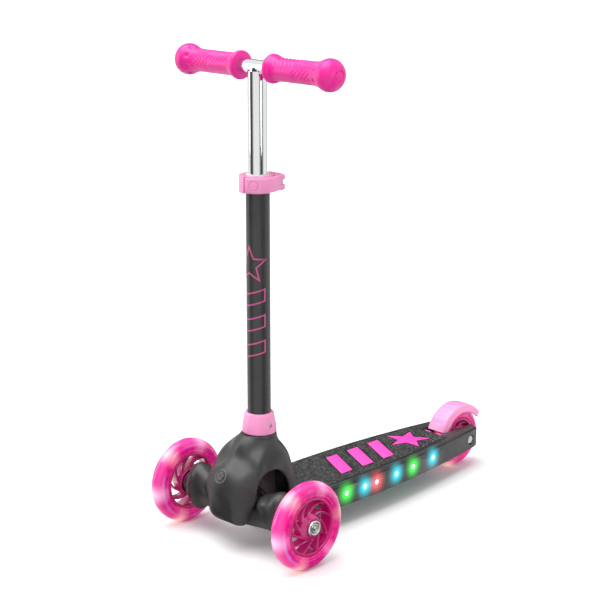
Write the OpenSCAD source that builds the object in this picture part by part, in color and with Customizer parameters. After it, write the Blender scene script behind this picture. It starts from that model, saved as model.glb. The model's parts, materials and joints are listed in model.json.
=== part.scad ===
// Three-wheeled kick scooter for small children, with lean-to-steer front truck,
// height-adjustable handlebar, light-up wheels and deck, and a foot brake.
// Millimetres. +X forward, +Y to the rider's left, +Z up. Z = 0 is the ground, and
// X = 0 is midway between the rearmost and foremost points of the wheels.

/* [Wheels] */
// Diameter of each front wheel
front_wheel_d = 120; // [100:1:125]
// Diameter of the rear wheel
rear_wheel_d = 90; // [80:1:92]
// Width of the tyres
tyre_w = 24; // [22:1:26]
// Distance between the middles of the two front wheels
track_w = 239; // [232:1:260]
// Swirl spokes in each front wheel
spoke_count = 9; // [6:1:11]
// Swirl spokes in the rear wheel
rear_spoke_count = 8; // [6:1:9]

/* [Deck] */
// Widest part of the deck
deck_w = 114; // [108:1:124]
// Height of the deck's top above the ground
deck_top_z = 64.6; // [62:0.2:67]
// Height of the deck's moulded body
deck_h = 34; // [30:1:34]
// Wall thickness of the deck moulding
deck_wall = 3.5; // [3:0.1:4]
// Thickness of the anti-slip mat
mat_t = 1.2; // [0.8:0.1:2]

/* [Handlebar] */
// Height of the crossbar's axis above the ground
bar_z = 646; // [620:1:666]
// Distance between the outer ends of the two grips
bar_w = 294; // [280:1:310]
// Diameter of the crossbar
bar_d = 18; // [16:0.5:19]
// Diameter of the chromed stem
stem_d = 25.4; // [24:0.1:26]
// Wall thickness of the bar and stem tubes
bar_wall = 1.4; // [1:0.1:2]

/* [Column] */
// Diameter of the fixed lower column
column_d = 31.8; // [31.8:0.1:33]
// Height of the column's upper end
column_top_z = 505; // [480:1:520]
// Height of the quick-release clamp
clamp_h = 22; // [20:1:24]

/* [Steering] */
// Lean of the steering pin away from vertical
kingpin_angle = 45; // [45:1:50]
// Diameter of the steering pin
kingpin_d = 10; // [8:0.5:11]

/* [Brake] */
// Thickness of the brake fender
fender_t = 3; // [2.4:0.1:3.2]
// Half width of the brake fender
fender_half_w = 18; // [16:0.5:18.5]

/* [Hidden] */
$fn = 64;
eps = 0.01;

// Colours
hot_pink = "#f01fa0";
pale_pink = "#ff8fc6";
clear_pink = "#ff4fb4";
deep_pink = "#c0157a";
graphite = "#3c3e40";
near_black = "#1f2021";
chrome = "#d4d8dc";
steel = "#9aa0a6";

// Wheel positions
front_r = front_wheel_d / 2;
rear_r = rear_wheel_d / 2;
front_axle_x = 215;
front_axle_z = front_r;
wheel_y = track_w / 2;
rear_axle_x = -230;
rear_axle_z = rear_r;
axle_r = 4;
run = 0.05;

// Bearing and hub layout, measured along the axle from the wheel's middle
bearing_r = 11;
bearing_w = 7;
bearing_in = 4;
hub_r = 19;
hub_half = 11.5;
rim_t = 3.5;
front_rim_r = front_r - 21;
rear_rim_r = rear_r - 16;

// Steering column
column_x = 186;
column_r = column_d / 2;
column_bottom_z = 106;
column_wall = 1.5;
stem_r = stem_d / 2;
stem_bottom_z = bar_z - 288;
bushing_len = 65;
collar_z = 154.5;
collar_h = 28;
collar_screw_z = 166;
collar_screw_y = 18.3;

// Front housing
neck_top_z = 154.3;
socket_r = 20;
shell_t = 3.5;
arch_x = column_x + 23.5;
arch_r = 26.5;
arch_z = 94;
boss_x = column_x - 32;
boss_y = 40;

// Lean-to-steer pin
kingpin_x = column_x + 27;
kingpin_z = 66;
kingpin_r = kingpin_d / 2;
truck_hub_r = 19;
truck_hub_half = 23;
ear_in = 24;
ear_t = 10;
ear_r = 12;
bush_r = kingpin_r + 3;
arm_r = 13;
arm_z = 62;
cheek_y = 70;
cheek_end_y = 104.4;

// Deck outline: two long arcs meet a squared front and a rounded rear
deck_side_r = 1490;
deck_widest_x = 46;
deck_front_x = column_x - 16;
deck_rear_x = -254;
deck_corner_r = 12;
deck_tail_r = 14;
deck_bottom_z = deck_top_z - deck_h;
deck_plate_t = 4;
ledge_h = 6;
ledge_in = 2.5;
slot_front_x = -170;
slot_half_w = 19.5;
mat_in = 6.5;
mat_front_x = column_x - 50;
floor_in_x = column_x - 62;

// Deck lighting and battery
lamp_x = [72, 35, 10, -34, -73, -123];
lamp_z = deck_bottom_z + 17.4;
lamp_r = 4;
strip_y = 40;
board_t = 1.6;
bay_x = [-46, 26];
bay_half_w = 27;
cell_r = 5.25;
cell_len = 44.5;
cell_z = 47;

// Quick-release clamp
clamp_z = column_top_z + 1 - clamp_h;
clamp_mid_z = clamp_z + clamp_h / 2;
clamp_r = 24.8;
clamp_nest_r = 20.5;
lever_in_r = 20.9;
lever_out_r = 25.4;
lever_z = clamp_z + 1;
lever_h = clamp_h - 2;
lever_pin_x = column_x - 27;
lever_pin_y = 14;
lever_pin_r = 2;
lever_head_r = 6.4;
lever_slot_h = 6.8;
clamp_bolt_r = 2.5;

// Brake
fender_r = rear_r + 7.5;
fender_start = 22;
fender_sweep = 118;
brake_pin_x = rear_axle_x + 53;
brake_pin_z = rear_axle_z + 12;
brake_pin_r = 2.5;

// Half width of the deck at a place along it
function deck_half_w(x) = deck_w / 2 - pow(x - deck_widest_x, 2) / (2 * deck_side_r);

// A round bar along Y between two places
module y_bar(r, y0, y1) {
    translate([0, y1, 0]) rotate([90, 0, 0]) cylinder(r = r, h = y1 - y0);
}

// A shape turned about Z is laid over so that its axis runs along Y
module along_y() {
    rotate([-90, 0, 0]) children();
}

// Things drawn about the steering pin, with Z along the pin
module on_kingpin() {
    translate([kingpin_x, 0, kingpin_z]) rotate([0, kingpin_angle, 0]) children();
}

// Ring with straight walls, standing on z0
module ring(r_out, r_in, z0, z1) {
    translate([0, 0, z0]) difference() {
        cylinder(r = r_out, h = z1 - z0);
        translate([0, 0, -1]) cylinder(r = r_in, h = z1 - z0 + 2);
    }
}

// ---------------------------------------------------------------- deck

// Plan view of the deck, drawn inwards by a margin
module deck_outline(inset = 0, rear_x = deck_rear_x, front_x = deck_front_x) {
    lens_y = deck_side_r - deck_w / 2;
    corner_x = rear_x + inset + deck_corner_r;
    corner_y = deck_half_w(corner_x) - deck_corner_r - inset;
    intersection() {
        translate([deck_widest_x, -lens_y]) circle(r = deck_side_r - inset, $fn = 720);
        translate([deck_widest_x, lens_y]) circle(r = deck_side_r - inset, $fn = 720);
        union() {
            translate([corner_x, -deck_w]) square([front_x - inset - corner_x, 2 * deck_w]);
            translate([rear_x + inset, -corner_y]) square([deck_corner_r + 1, 2 * corner_y]);
            for (side = [-1, 1])
                translate([corner_x, side * corner_y]) circle(r = deck_corner_r);
        }
    }
}

// A window bore or lens along Y for each lamp on one side
module lamp_bars(r, y0, y_over, side) {
    for (x = lamp_x)
        translate([x, 0, lamp_z])
            mirror([0, side < 0 ? 1 : 0, 0])
                y_bar(r, y0, deck_half_w(x) + y_over);
}

// Hollow underside of the deck, open below
module deck_hollow() {
    ceiling_z = deck_top_z - deck_plate_t;
    translate([0, 0, deck_bottom_z - 1])
        linear_extrude(ceiling_z - deck_bottom_z + 1)
            intersection() {
                deck_outline(deck_wall);
                translate([slot_front_x + 12, -deck_w])
                    square([floor_in_x - slot_front_x - 12, 2 * deck_w]);
            }
    translate([floor_in_x - 1, -23, deck_bottom_z - 1])
        cube([deck_front_x - floor_in_x + 3, 46, 50 - deck_bottom_z + 1]);
}

// Stiffening ribs, kept clear of the battery bay, the circuit board and the light strips
module deck_ribs() {
    rib_t = 2.4;
    rib_z = deck_bottom_z + 1;
    for (side = [-1, 1])
        translate([slot_front_x + 10, side * (bay_half_w + 2) - rib_t / 2, rib_z])
            cube([floor_in_x - slot_front_x - 9, rib_t, deck_h - 3]);
    for (x = [-140, -110, -80, bay_x[0] - 4, bay_x[1] + 2, 95])
        translate([x, -bay_half_w - 2, rib_z])
            cube([rib_t, 2 * bay_half_w + 4, deck_h - 3]);
}

// What is taken off the tail so that its end is round, seen from the side
module tail_corners() {
    centre = deck_tail_r - 0.2;
    arc = [for (i = [0:8]) let(a = 180 + 90 * i / 8)
        [centre + deck_tail_r * cos(a), centre + deck_tail_r * sin(a)]];
    translate([deck_rear_x, deck_w, deck_bottom_z]) rotate([90, 0, 0])
        for (top = [0, 1])
            translate([0, top * deck_h, 0]) mirror([0, top, 0])
                linear_extrude(2 * deck_w) polygon(concat([[-5, centre]], arc, [[centre, -5], [-5, -5]]));
}

module deck_board() {
    color(graphite) difference() {
        union() {
            difference() {
                union() {
                    translate([0, 0, deck_bottom_z])
                        linear_extrude(deck_h - ledge_h) deck_outline();
                    translate([0, 0, deck_top_z - ledge_h - eps])
                        linear_extrude(ledge_h + eps) deck_outline(ledge_in);
                }
                deck_hollow();
            }
            deck_ribs();
        }
        // Slot for the rear wheel and the brake
        translate([deck_rear_x - 10, -slot_half_w, deck_bottom_z - 1])
            cube([slot_front_x - deck_rear_x + 10, 2 * slot_half_w, deck_h + 2]);
        tail_corners();
        // Rear axle, with seats for its head and nut
        translate([rear_axle_x, 0, rear_axle_z]) {
            y_bar(axle_r + run, -60, 60);
            y_bar(7.5, 26, 60);
            y_bar(7.5, -60, -26);
        }
        // Brake pin
        translate([brake_pin_x, 0, brake_pin_z]) y_bar(brake_pin_r + run, -27, 27);
        // Lamp windows
        for (side = [-1, 1])
            lamp_bars(lamp_r + run, strip_y, 5, side);
        // Steering bracket bolts and housing screws
        for (x = [column_x - 54, column_x - 28], y = [-15, 15])
            translate([x, y, 45]) cylinder(r = 2.5 + run, h = 15);
        for (y = [-boss_y, boss_y])
            translate([boss_x, y, deck_bottom_z - 1]) {
                cylinder(r = 1.7, h = 60);
                cylinder(r = 4, h = deck_h - 6.8);
            }
        // Notch for the bracket's riser
        translate([column_x - 31.4, -11.4, deck_bottom_z + 10]) cube([30, 22.8, deck_h]);
    }
}

// Five-pointed star
module star(r_out, r_in) {
    polygon([for (i = [0:9]) let(r = i % 2 == 0 ? r_out : r_in, a = 36 * i)
        [r * cos(a), r * sin(a)]]);
}

// Star and three slanted stripes, as one flat pattern
module graphic_pattern() {
    stripe_w = 22;
    stripe_y = 30;
    slant = 15;
    translate([column_x - 305, 0]) star(34, 14);
    for (i = [0:2])
        translate([column_x - 256 + i * 44, 0])
            polygon([
                [-slant, -stripe_y], [stripe_w - slant, -stripe_y],
                [stripe_w + slant, stripe_y], [slant, stripe_y]
            ]);
}

module grip_mat() {
    color(near_black) translate([0, 0, deck_top_z])
        linear_extrude(mat_t) difference() {
            intersection() {
                deck_outline(mat_in);
                translate([slot_front_x, -deck_w])
                    square([mat_front_x - slot_front_x, 2 * deck_w]);
            }
            graphic_pattern();
        }
}

module deck_graphic() {
    color(clear_pink) translate([0, 0, deck_top_z])
        linear_extrude(mat_t + 0.2) graphic_pattern();
}

module light_windows(side) {
    color("white") lamp_bars(lamp_r, strip_y + 3, 0.6, side);
}

module light_windows_left() { light_windows(1); }
module light_windows_right() { light_windows(-1); }

// Circuit strip with one light-emitting chip behind each window
module light_strip(side) {
    margin = 8;
    x0 = min(lamp_x) - margin;
    x1 = max(lamp_x) + margin;
    color("white") mirror([0, side < 0 ? 1 : 0, 0]) {
        translate([x0, strip_y - board_t, lamp_z - 5]) cube([x1 - x0, board_t, 10]);
        for (x = lamp_x)
            translate([x - 1.75, strip_y - eps, lamp_z - 1.75]) cube([3.5, 2, 3.5]);
    }
}

module light_strip_left() { light_strip(1); }
module light_strip_right() { light_strip(-1); }

// Control board with its chip and the capsule of its motion switch
module control_board() {
    board_z = deck_top_z - 9;
    color("seagreen") {
        translate([46, -14, board_z]) cube([36, 28, board_t]);
        translate([52, -5, board_z - 2]) cube([10, 10, 2 + eps]);
        translate([66, 0, board_z - 3]) rotate([0, 90, 0]) cylinder(r = 3 + eps, h = 11);
    }
}

module battery_tray() {
    tray_z = cell_z - cell_r - 2;
    color(near_black) difference() {
        translate([bay_x[0] + 4, -19, tray_z]) cube([64, 38, 2 * cell_r + 4]);
        translate([bay_x[0] + 7, -17.2, tray_z - 1]) cube([58, 34.4, 2 * cell_r + 3]);
    }
}

module battery_cells() {
    x0 = (bay_x[0] + bay_x[1]) / 2 - cell_len / 2;
    color("silver") for (y = [-11.2, 0, 11.2])
        translate([x0, y, cell_z - 1]) rotate([0, 90, 0]) {
            cylinder(r = cell_r, h = cell_len - 1);
            cylinder(r = 1.9, h = cell_len);
        }
}

module battery_cover() {
    color(graphite) difference() {
        union() {
            translate([bay_x[0], -25.5, deck_bottom_z + 0.4]) cube([bay_x[1] - bay_x[0], 51, 2.4]);
            for (i = [0:5])
                translate([bay_x[0] + 10, -14 + i * 5.6, deck_bottom_z])
                    cube([10, 2, 0.4 + eps]);
        }
        translate([bay_x[1] - 5, 0, deck_bottom_z - 1]) cylinder(r = 1.7, h = 6);
    }
}

module battery_cover_screw() {
    color(steel) translate([bay_x[1] - 5, 0, deck_bottom_z - 1.2]) difference() {
        union() {
            cylinder(r = 1.5, h = 9);
            cylinder(r = 3, h = 1.55);
        }
        translate([-2, -0.4, -1]) cube([4, 0.8, 1.7]);
    }
}

// ---------------------------------------------------------------- front housing

// Blended outer form, drawn inwards by a wall thickness
module housing_form(t) {
    $fn = 32;
    hull() {
        translate([column_x, 0, 146]) cylinder(r = 23.4 - t, h = neck_top_z - 146);
        for (side = [-1, 1]) {
            translate([column_x - 14, side * 26, 86]) sphere(r = 30 - t);
            translate([column_x - 14, side * 25, deck_top_z - (t > 0 ? 6 : 0)])
                cylinder(r = 30 - t, h = 20);
            translate([column_x + 24, side * 22, 108]) sphere(r = 27 - t);
            translate([column_x + 44, side * 14, 76]) sphere(r = 27 - t);
            translate([column_x + 30, side * 30, 80]) sphere(r = 27 - t);
            translate([column_x + 44, side * 12, 48]) sphere(r = 18 - t);
        }
        translate([column_x + 46, 0, 94]) sphere(r = 30 - t);
    }
}

module front_housing() {
    color(graphite) difference() {
        union() {
            difference() {
                housing_form(0);
                housing_form(shell_t);
            }
            // Screw bosses, and the collar that grips the steering bracket's socket
            for (side = [-1, 1])
                translate([boss_x, side * boss_y, deck_top_z]) cylinder(r = 6, h = 16);
            translate([column_x, 0, 0]) ring(22.4, socket_r, neck_top_z - 19.8, neck_top_z - 0.8);
        }
        // Neck opening
        translate([column_x, 0, 130]) cylinder(r = socket_r + run, h = 40);
        // Side arches that the axle arms swing in
        translate([arch_x, -90, arch_z]) along_y() cylinder(r = arch_r, h = 180);
        translate([arch_x - arch_r, -90, -10]) cube([2 * arch_r, 180, arch_z + 10]);
        // Room in front of the swinging arms, either side of the chin
        for (side = [0, 1])
            mirror([0, side, 0]) translate([arch_x, 17, -10]) cube([33, 73, 80]);
        // Screw holes
        for (side = [-1, 1])
            translate([boss_x, side * boss_y, deck_top_z - 1]) cylinder(r = 1.5, h = 13);
        // Open underside behind the arches
        translate([column_x - 60, -70, 0]) cube([60, 140, deck_top_z]);
    }
}

module housing_screws() {
    color(steel) for (side = [-1, 1])
        translate([boss_x, side * boss_y, deck_top_z - 8.2]) {
            cylinder(r = 1.45, h = 19);
            translate([0, 0, -2.4]) cylinder(r = 3, h = 2.5);
        }
}

// ---------------------------------------------------------------- steering

// Socket for the column, with two ears that carry the steering pin
module steering_bracket() {
    web_in = truck_hub_r + 2.5;
    color(near_black) difference() {
        union() {
            translate([column_x, 0, 100]) cylinder(r = socket_r - run, h = 52);
            translate([column_x, 11, 0]) rotate([90, 0, 0]) linear_extrude(22)
                polygon([[-19, 110], [-19, 56], [0, 75], [12, 87], [18, 110]]);
            on_kingpin() {
                for (z = [-ear_in - ear_t, ear_in])
                    translate([0, 0, z]) {
                        cylinder(r = ear_r, h = ear_t);
                        translate([-web_in - 10, -11, 0]) cube([web_in + 10, 22, ear_t]);
                    }
                translate([-web_in - 10, -11, -ear_in - ear_t])
                    cube([10, 22, 2 * (ear_in + ear_t)]);
            }
            translate([floor_in_x + 1, -22, 36]) cube([46, 44, 13.9]);
            translate([column_x - 31, -11, 36]) cube([21, 22, 28]);
        }
        translate([column_x, 0, column_bottom_z]) cylinder(r = column_r + run, h = 60);
        on_kingpin() translate([0, 0, -60]) cylinder(r = kingpin_r + 0.1, h = 120);
        on_kingpin() translate([0, 0, -ear_in - ear_t - 30]) cylinder(r = 10, h = 30);
        on_kingpin() translate([0, 0, ear_in + ear_t]) cylinder(r = 10, h = 20);
        for (x = [column_x - 54, column_x - 28], y = [-15, 15])
            translate([x, y, 30]) cylinder(r = 2.5 + run, h = 30);
    }
}

module bracket_bolts() {
    color(steel) for (x = [column_x - 54, column_x - 28], y = [-15, 15])
        translate([x, y, 0]) difference() {
            union() {
                translate([0, 0, 35]) cylinder(r = 2.5, h = 23);
                translate([0, 0, 32.4]) cylinder(r = 4.4, h = 3.5);
            }
            translate([0, 0, 31]) cylinder(r = 2.2, h = 3.4, $fn = 6);
        }
}

module kingpin_bolt() {
    color(steel) on_kingpin() {
        translate([0, 0, -ear_in - ear_t - 1]) cylinder(r = kingpin_r, h = 2 * (ear_in + ear_t) + 9);
        translate([0, 0, -ear_in - ear_t - 6]) cylinder(r = 8.5, h = 5.95, $fn = 6);
    }
}

module kingpin_nut() {
    color(steel) on_kingpin() translate([0, 0, ear_in + ear_t + run]) difference() {
        cylinder(r = 8.5, h = 6.5, $fn = 6);
        translate([0, 0, -1]) cylinder(r = kingpin_r, h = 9);
    }
}

// One side of the axle beam, swelling from its root to a cheek beside the wheel
module truck_cheek() {
    $fn = 32;
    hull() {
        translate([kingpin_x + 4, 0, arm_z - 13]) y_bar(12, 16, 24);
        translate([kingpin_x + 2, cheek_y, 62]) scale([21, 14, 28]) sphere(r = 1);
        translate([front_axle_x, 0, front_axle_z]) y_bar(18, 90, cheek_end_y);
    }
}

module truck_beam() {
    color(graphite) difference() {
        union() {
            on_kingpin() translate([0, 0, -truck_hub_half])
                cylinder(r = truck_hub_r, h = 2 * truck_hub_half);
            translate([kingpin_x + 1, 0, arm_z]) y_bar(arm_r, -66, 66);
            truck_cheek();
            mirror([0, 1, 0]) truck_cheek();
        }
        on_kingpin() translate([0, 0, -40]) cylinder(r = bush_r, h = 80);
        for (side = [0, 1])
            mirror([0, side, 0]) translate([front_axle_x, 0, front_axle_z]) {
                y_bar(axle_r + run, 60, 110);
                y_bar(7.6, 50, 78);
            }
    }
}

module kingpin_bushes() {
    color("ivory") on_kingpin() for (end = [0, 1]) mirror([0, 0, end]) {
        ring(bush_r - run, kingpin_r + run, 8, truck_hub_half + 0.1);
        ring(bush_r + 3, kingpin_r + run, truck_hub_half + run, ear_in - run);
    }
}

module centring_cushion() {
    color("dimgray") on_kingpin() ring(bush_r - run, kingpin_r + 0.1, -7.8, 7.8);
}

module front_axle_pair() {
    for (side = [0, 1])
        mirror([0, side, 0]) translate([front_axle_x, 0, front_axle_z]) children();
}

module front_axle_bolts() {
    head_y = wheel_y + hub_half - 0.35;
    color(steel) front_axle_pair() {
        y_bar(axle_r, 70.5, head_y + 1);
        translate([0, head_y, 0]) along_y() cylinder(r = 6.4, h = 3.85, $fn = 6);
    }
}

module front_axle_nuts() {
    color(steel) front_axle_pair() translate([0, 71, 0]) along_y() difference() {
        cylinder(r = 7.2, h = 6.9, $fn = 6);
        translate([0, 0, -1]) cylinder(r = axle_r, h = 9);
    }
}

module front_axle_spacers() {
    color(steel) front_axle_pair() along_y()
        ring(6.5, axle_r + run / 2, cheek_end_y + 0.05, wheel_y - bearing_in - bearing_w - 0.1);
}

// ---------------------------------------------------------------- column and clamp

module column_tube() {
    color(near_black) difference() {
        translate([column_x, 0, 0]) ring(column_r, column_r - column_wall, column_bottom_z + run,
            column_top_z);
        translate([column_x, 0, collar_screw_z]) y_bar(1.55, 5, 25);
    }
}

module column_bushing() {
    in_r = stem_r + 0.08;
    out_r = column_r - column_wall - run;
    color("whitesmoke") translate([column_x, 0, 0]) {
        ring(out_r, in_r, column_top_z - bushing_len, column_top_z + run);
        ring(column_r - 0.2, in_r, column_top_z + run / 2, column_top_z + 2.2);
    }
}

module lower_collar() {
    color(pale_pink) translate([column_x, 0, 0]) difference() {
        rotate_extrude() polygon([
            [column_r + run, collar_z], [22.7, collar_z], [23.5, collar_z + 1.2],
            [23, collar_z + 9], [19.8, collar_z + collar_h - 1.5],
            [18.8, collar_z + collar_h], [column_r + run, collar_z + collar_h]
        ]);
        translate([0, 0, collar_screw_z]) y_bar(1.55, 5, 30);
        translate([0, 0, collar_screw_z]) y_bar(3.4, collar_screw_y, 30);
    }
}

module lower_collar_screw() {
    color(steel) translate([column_x, 0, collar_screw_z]) difference() {
        union() {
            y_bar(1.5, 13.5, collar_screw_y + 1);
            y_bar(3.1, collar_screw_y + run, collar_screw_y + 2.6);
        }
        translate([0, collar_screw_y + 1.2, 0]) along_y() cylinder(r = 1.5, h = 5, $fn = 6);
    }
}

// Angular sector of a ring, from one bearing to another
module arc_ring(r_out, r_in, h, from, to) {
    rotate([0, 0, from]) rotate_extrude(angle = to - from)
        translate([r_in, 0]) square([r_out - r_in, h]);
}

module clamp_collar() {
    color(pale_pink) translate([column_x, 0, clamp_z]) difference() {
        union() {
            cylinder(r = clamp_nest_r, h = clamp_h);
            arc_ring(clamp_r, 17, clamp_h, -170, -2);
            translate([-34, -11.5, 1]) cube([22, 18.5, clamp_h - 2]);
        }
        translate([0, 0, -1]) cylinder(r = column_r + run, h = clamp_h + 2);
        translate([-40, -3.5, -1]) cube([30, 2.4, clamp_h + 2]);
        translate([-27, 0, clamp_h / 2]) y_bar(clamp_bolt_r + run, -20, 20);
    }
}

module clamp_bolt() {
    color(steel) translate([lever_pin_x, 0, clamp_mid_z]) {
        difference() {
            union() {
                y_bar(clamp_bolt_r, -17, lever_pin_y);
                translate([0, lever_pin_y, -3]) cylinder(r = 4.4, h = 6);
            }
            translate([0, lever_pin_y, -5]) cylinder(r = lever_pin_r, h = 10);
        }
        translate([0, -16, 0]) along_y() cylinder(r = 5, h = 4.4, $fn = 6);
    }
}

module lever_pivot_pin() {
    color(steel) translate([lever_pin_x, lever_pin_y, lever_z - 0.4])
        cylinder(r = lever_pin_r, h = lever_h + 0.8);
}

// Flat outline of the lever: a band round the collar, tied to a head round its pin
module lever_outline() {
    mid_r = (lever_in_r + lever_out_r) / 2;
    tip_r = (lever_out_r - lever_in_r) / 2;
    tip_a = 4;
    root_a = 124;
    root = [mid_r * cos(root_a), mid_r * sin(root_a)];
    head = [lever_pin_x - column_x, lever_pin_y];
    across = [head[1] - root[1], root[0] - head[0]] / norm(head - root);
    difference() {
        circle(r = lever_out_r);
        circle(r = lever_in_r);
        rotate(tip_a) translate([-60, -60]) square([120, 60]);
        rotate(root_a) translate([-60, 0]) square([120, 60]);
    }
    translate(head) circle(r = lever_head_r);
    polygon([
        root - across * tip_r, root + across * tip_r,
        head + across * (lever_head_r - 1), head - across * (lever_head_r - 1)
    ]);
}

module clamp_lever() {
    color(pale_pink) difference() {
        translate([column_x, 0, lever_z]) linear_extrude(lever_h) lever_outline();
        translate([lever_pin_x, lever_pin_y, 0]) {
            translate([0, 0, lever_z - 1]) cylinder(r = lever_pin_r + run, h = lever_h + 2);
            translate([0, 0, clamp_mid_z - lever_slot_h / 2])
                cylinder(r = lever_head_r + 1, h = lever_slot_h);
        }
    }
}

// ---------------------------------------------------------------- handlebar

module stem_tube() {
    color(chrome) difference() {
        translate([column_x, 0, stem_bottom_z]) cylinder(r = stem_r, h = bar_z - 5 - stem_bottom_z);
        translate([column_x, 0, stem_bottom_z - 1])
            cylinder(r = stem_r - bar_wall, h = bar_z - 12 - stem_bottom_z);
        translate([column_x, 0, bar_z]) y_bar(bar_d / 2 + 0.01, -40, 40);
    }
}

module crossbar() {
    color(chrome) translate([column_x, 0, bar_z]) along_y()
        ring(bar_d / 2, bar_d / 2 - bar_wall, -bar_w / 2 + 8, bar_w / 2 - 8);
}

// Soft grip turned about the bar: an inner flange, a slim waist and a bulbous outer end
module grip(side) {
    end_y = bar_w / 2;
    bore_r = bar_d / 2 + run;
    color(hot_pink) translate([column_x, 0, bar_z]) mirror([0, side < 0 ? 1 : 0, 0]) along_y()
        rotate_extrude() polygon([
            [bore_r, 26.5], [16.5, 26.5], [18.6, 28.3], [19, 31], [18, 34.5], [15.8, 40],
            [15.1, 49], [15.1, end_y - 41], [16, end_y - 33], [18.6, end_y - 26],
            [20.6, end_y - 20], [20.9, end_y - 16], [20.2, end_y - 11],
            [17.6, end_y - 6.5], [13.8, end_y - 2.4], [9.5, end_y], [0, end_y],
            [0, end_y - 7.5], [bore_r, end_y - 7.5]
        ]);
}

module grip_left() { grip(1); }
module grip_right() { grip(-1); }

module stem_plug() {
    color(near_black) translate([column_x, 0, stem_bottom_z - 3]) {
        cylinder(r = stem_r - 0.3, h = 2.9);
        cylinder(r = stem_r - bar_wall - run, h = 14);
    }
}

// ---------------------------------------------------------------- wheels

// Tyre about Z, with a crowned tread
module tyre(r_out, r_in) {
    crown = 17;
    rotate_extrude($fn = 96) intersection() {
        translate([r_in, -tyre_w / 2]) square([r_out - r_in, tyre_w]);
        translate([r_out - crown, 0]) circle(r = crown);
    }
}

// One swirl spoke: a slice of a curved vane between the hub and the rim
module spoke(r0, r1, h) {
    span = r1 - r0;
    vane_r = span * 0.85;
    vane_t = 2.4;
    translate([0, 0, -h / 2]) linear_extrude(h) intersection() {
        difference() {
            circle(r = r1 + 1);
            circle(r = r0 - 1);
        }
        difference() {
            translate([r0 + span * 0.42, vane_r * 0.8]) circle(r = vane_r + vane_t / 2);
            translate([r0 + span * 0.42, vane_r * 0.8]) circle(r = vane_r - vane_t / 2);
        }
        translate([r0 - 4, -span * 0.3]) square([span + 8, span * 0.85]);
    }
}

// Wheel core about Z; its outer side faces +Z, where the hub cap sits
module wheel_core(rim_r, spokes, cap) {
    difference() {
        union() {
            ring(rim_r - run, rim_r - rim_t, -tyre_w / 2 + 1, tyre_w / 2 - 1);
            ring(hub_r, 6.4, -hub_half, hub_half);
            if (cap)
                ring(13.4, 11, hub_half - 1, hub_half + 1.8);
            for (i = [0:spokes - 1])
                rotate([0, 0, i * 360 / spokes]) spoke(hub_r, rim_r - rim_t, 15);
        }
        for (end = [0, 1])
            mirror([0, 0, end]) translate([0, 0, bearing_in]) cylinder(r = bearing_r + run, h = 20);
        ring_groove();
    }
}

// Groove in the hub's inner side for the ring of lamps
module ring_groove() {
    ring(18, 14, -hub_half - 1, -4);
}

// Two ball bearings, each with its seals set back between the races
module bearings() {
    for (end = [0, 1])
        mirror([0, 0, end]) translate([0, 0, bearing_in]) rotate_extrude() polygon([
            [axle_r + run, 0], [bearing_r, 0], [bearing_r, bearing_w], [bearing_r - 1.6, bearing_w],
            [bearing_r - 1.6, bearing_w - 0.5], [6.2, bearing_w - 0.5], [6.2, bearing_w],
            [axle_r + run, bearing_w]
        ]);
}

module bearing_spacer() {
    ring(6.2, axle_r + run, -bearing_in + run, bearing_in - run);
}

module light_ring() {
    ring(17.8, 14.2, -9.4, -7.8);
    for (i = [0:3])
        rotate([0, 0, 90 * i + 20]) translate([16, 0, -7.8 - eps]) cylinder(r = 1.4, h = 2.4);
}

module hub_cap() {
    rotate_extrude() polygon([
        [8.6, hub_half + 0.1], [bearing_r - run, hub_half + 0.1], [bearing_r - run, 14.6],
        [9.6, 16.4], [7, 17], [0, 17.4], [0, 15.6], [8.6, 15.6]
    ]);
}

// Places a wheel part on the left or right front axle, with its cap side outwards
module front_wheel_place(side) {
    mirror([0, side < 0 ? 1 : 0, 0])
        translate([front_axle_x, wheel_y, front_axle_z]) along_y() children();
}

module rear_wheel_place() {
    translate([rear_axle_x, 0, rear_axle_z]) along_y() children();
}

module front_tyre(side) { color(clear_pink) front_wheel_place(side) tyre(front_r, front_rim_r); }
module front_core(side) {
    color(deep_pink) front_wheel_place(side) wheel_core(front_rim_r, spoke_count, true);
}
module front_bearings(side) { color(steel) front_wheel_place(side) bearings(); }
module front_magnet_spacer(side) { color("dimgray") front_wheel_place(side) bearing_spacer(); }
module front_light_ring(side) { color("ivory") front_wheel_place(side) light_ring(); }
module front_hub_cap(side) { color(chrome) front_wheel_place(side) hub_cap(); }

module front_tyre_left() { front_tyre(1); }
module front_core_left() { front_core(1); }
module front_bearings_left() { front_bearings(1); }
module front_magnet_spacer_left() { front_magnet_spacer(1); }
module front_light_ring_left() { front_light_ring(1); }
module front_hub_cap_left() { front_hub_cap(1); }
module front_tyre_right() { front_tyre(-1); }
module front_core_right() { front_core(-1); }
module front_bearings_right() { front_bearings(-1); }
module front_magnet_spacer_right() { front_magnet_spacer(-1); }
module front_light_ring_right() { front_light_ring(-1); }
module front_hub_cap_right() { front_hub_cap(-1); }

module rear_tyre() { color(clear_pink) rear_wheel_place() tyre(rear_r, rear_rim_r); }
module rear_core() { color(deep_pink) rear_wheel_place() wheel_core(rear_rim_r, rear_spoke_count, false); }
module rear_bearings() { color(steel) rear_wheel_place() bearings(); }
module rear_bearing_spacer() { color("dimgray") rear_wheel_place() bearing_spacer(); }

// ---------------------------------------------------------------- rear axle and brake

module rear_axle_bolt() {
    color(steel) translate([rear_axle_x, 0, rear_axle_z]) {
        y_bar(axle_r, -29, 27);
        translate([0, 26.05, 0]) along_y() cylinder(r = 6.4, h = 3.6, $fn = 6);
    }
}

module rear_axle_nut() {
    color(steel) translate([rear_axle_x, -29.6, rear_axle_z]) along_y() difference() {
        cylinder(r = 6.4, h = 3.55, $fn = 6);
        translate([0, 0, -1]) cylinder(r = axle_r, h = 6);
    }
}

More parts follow.
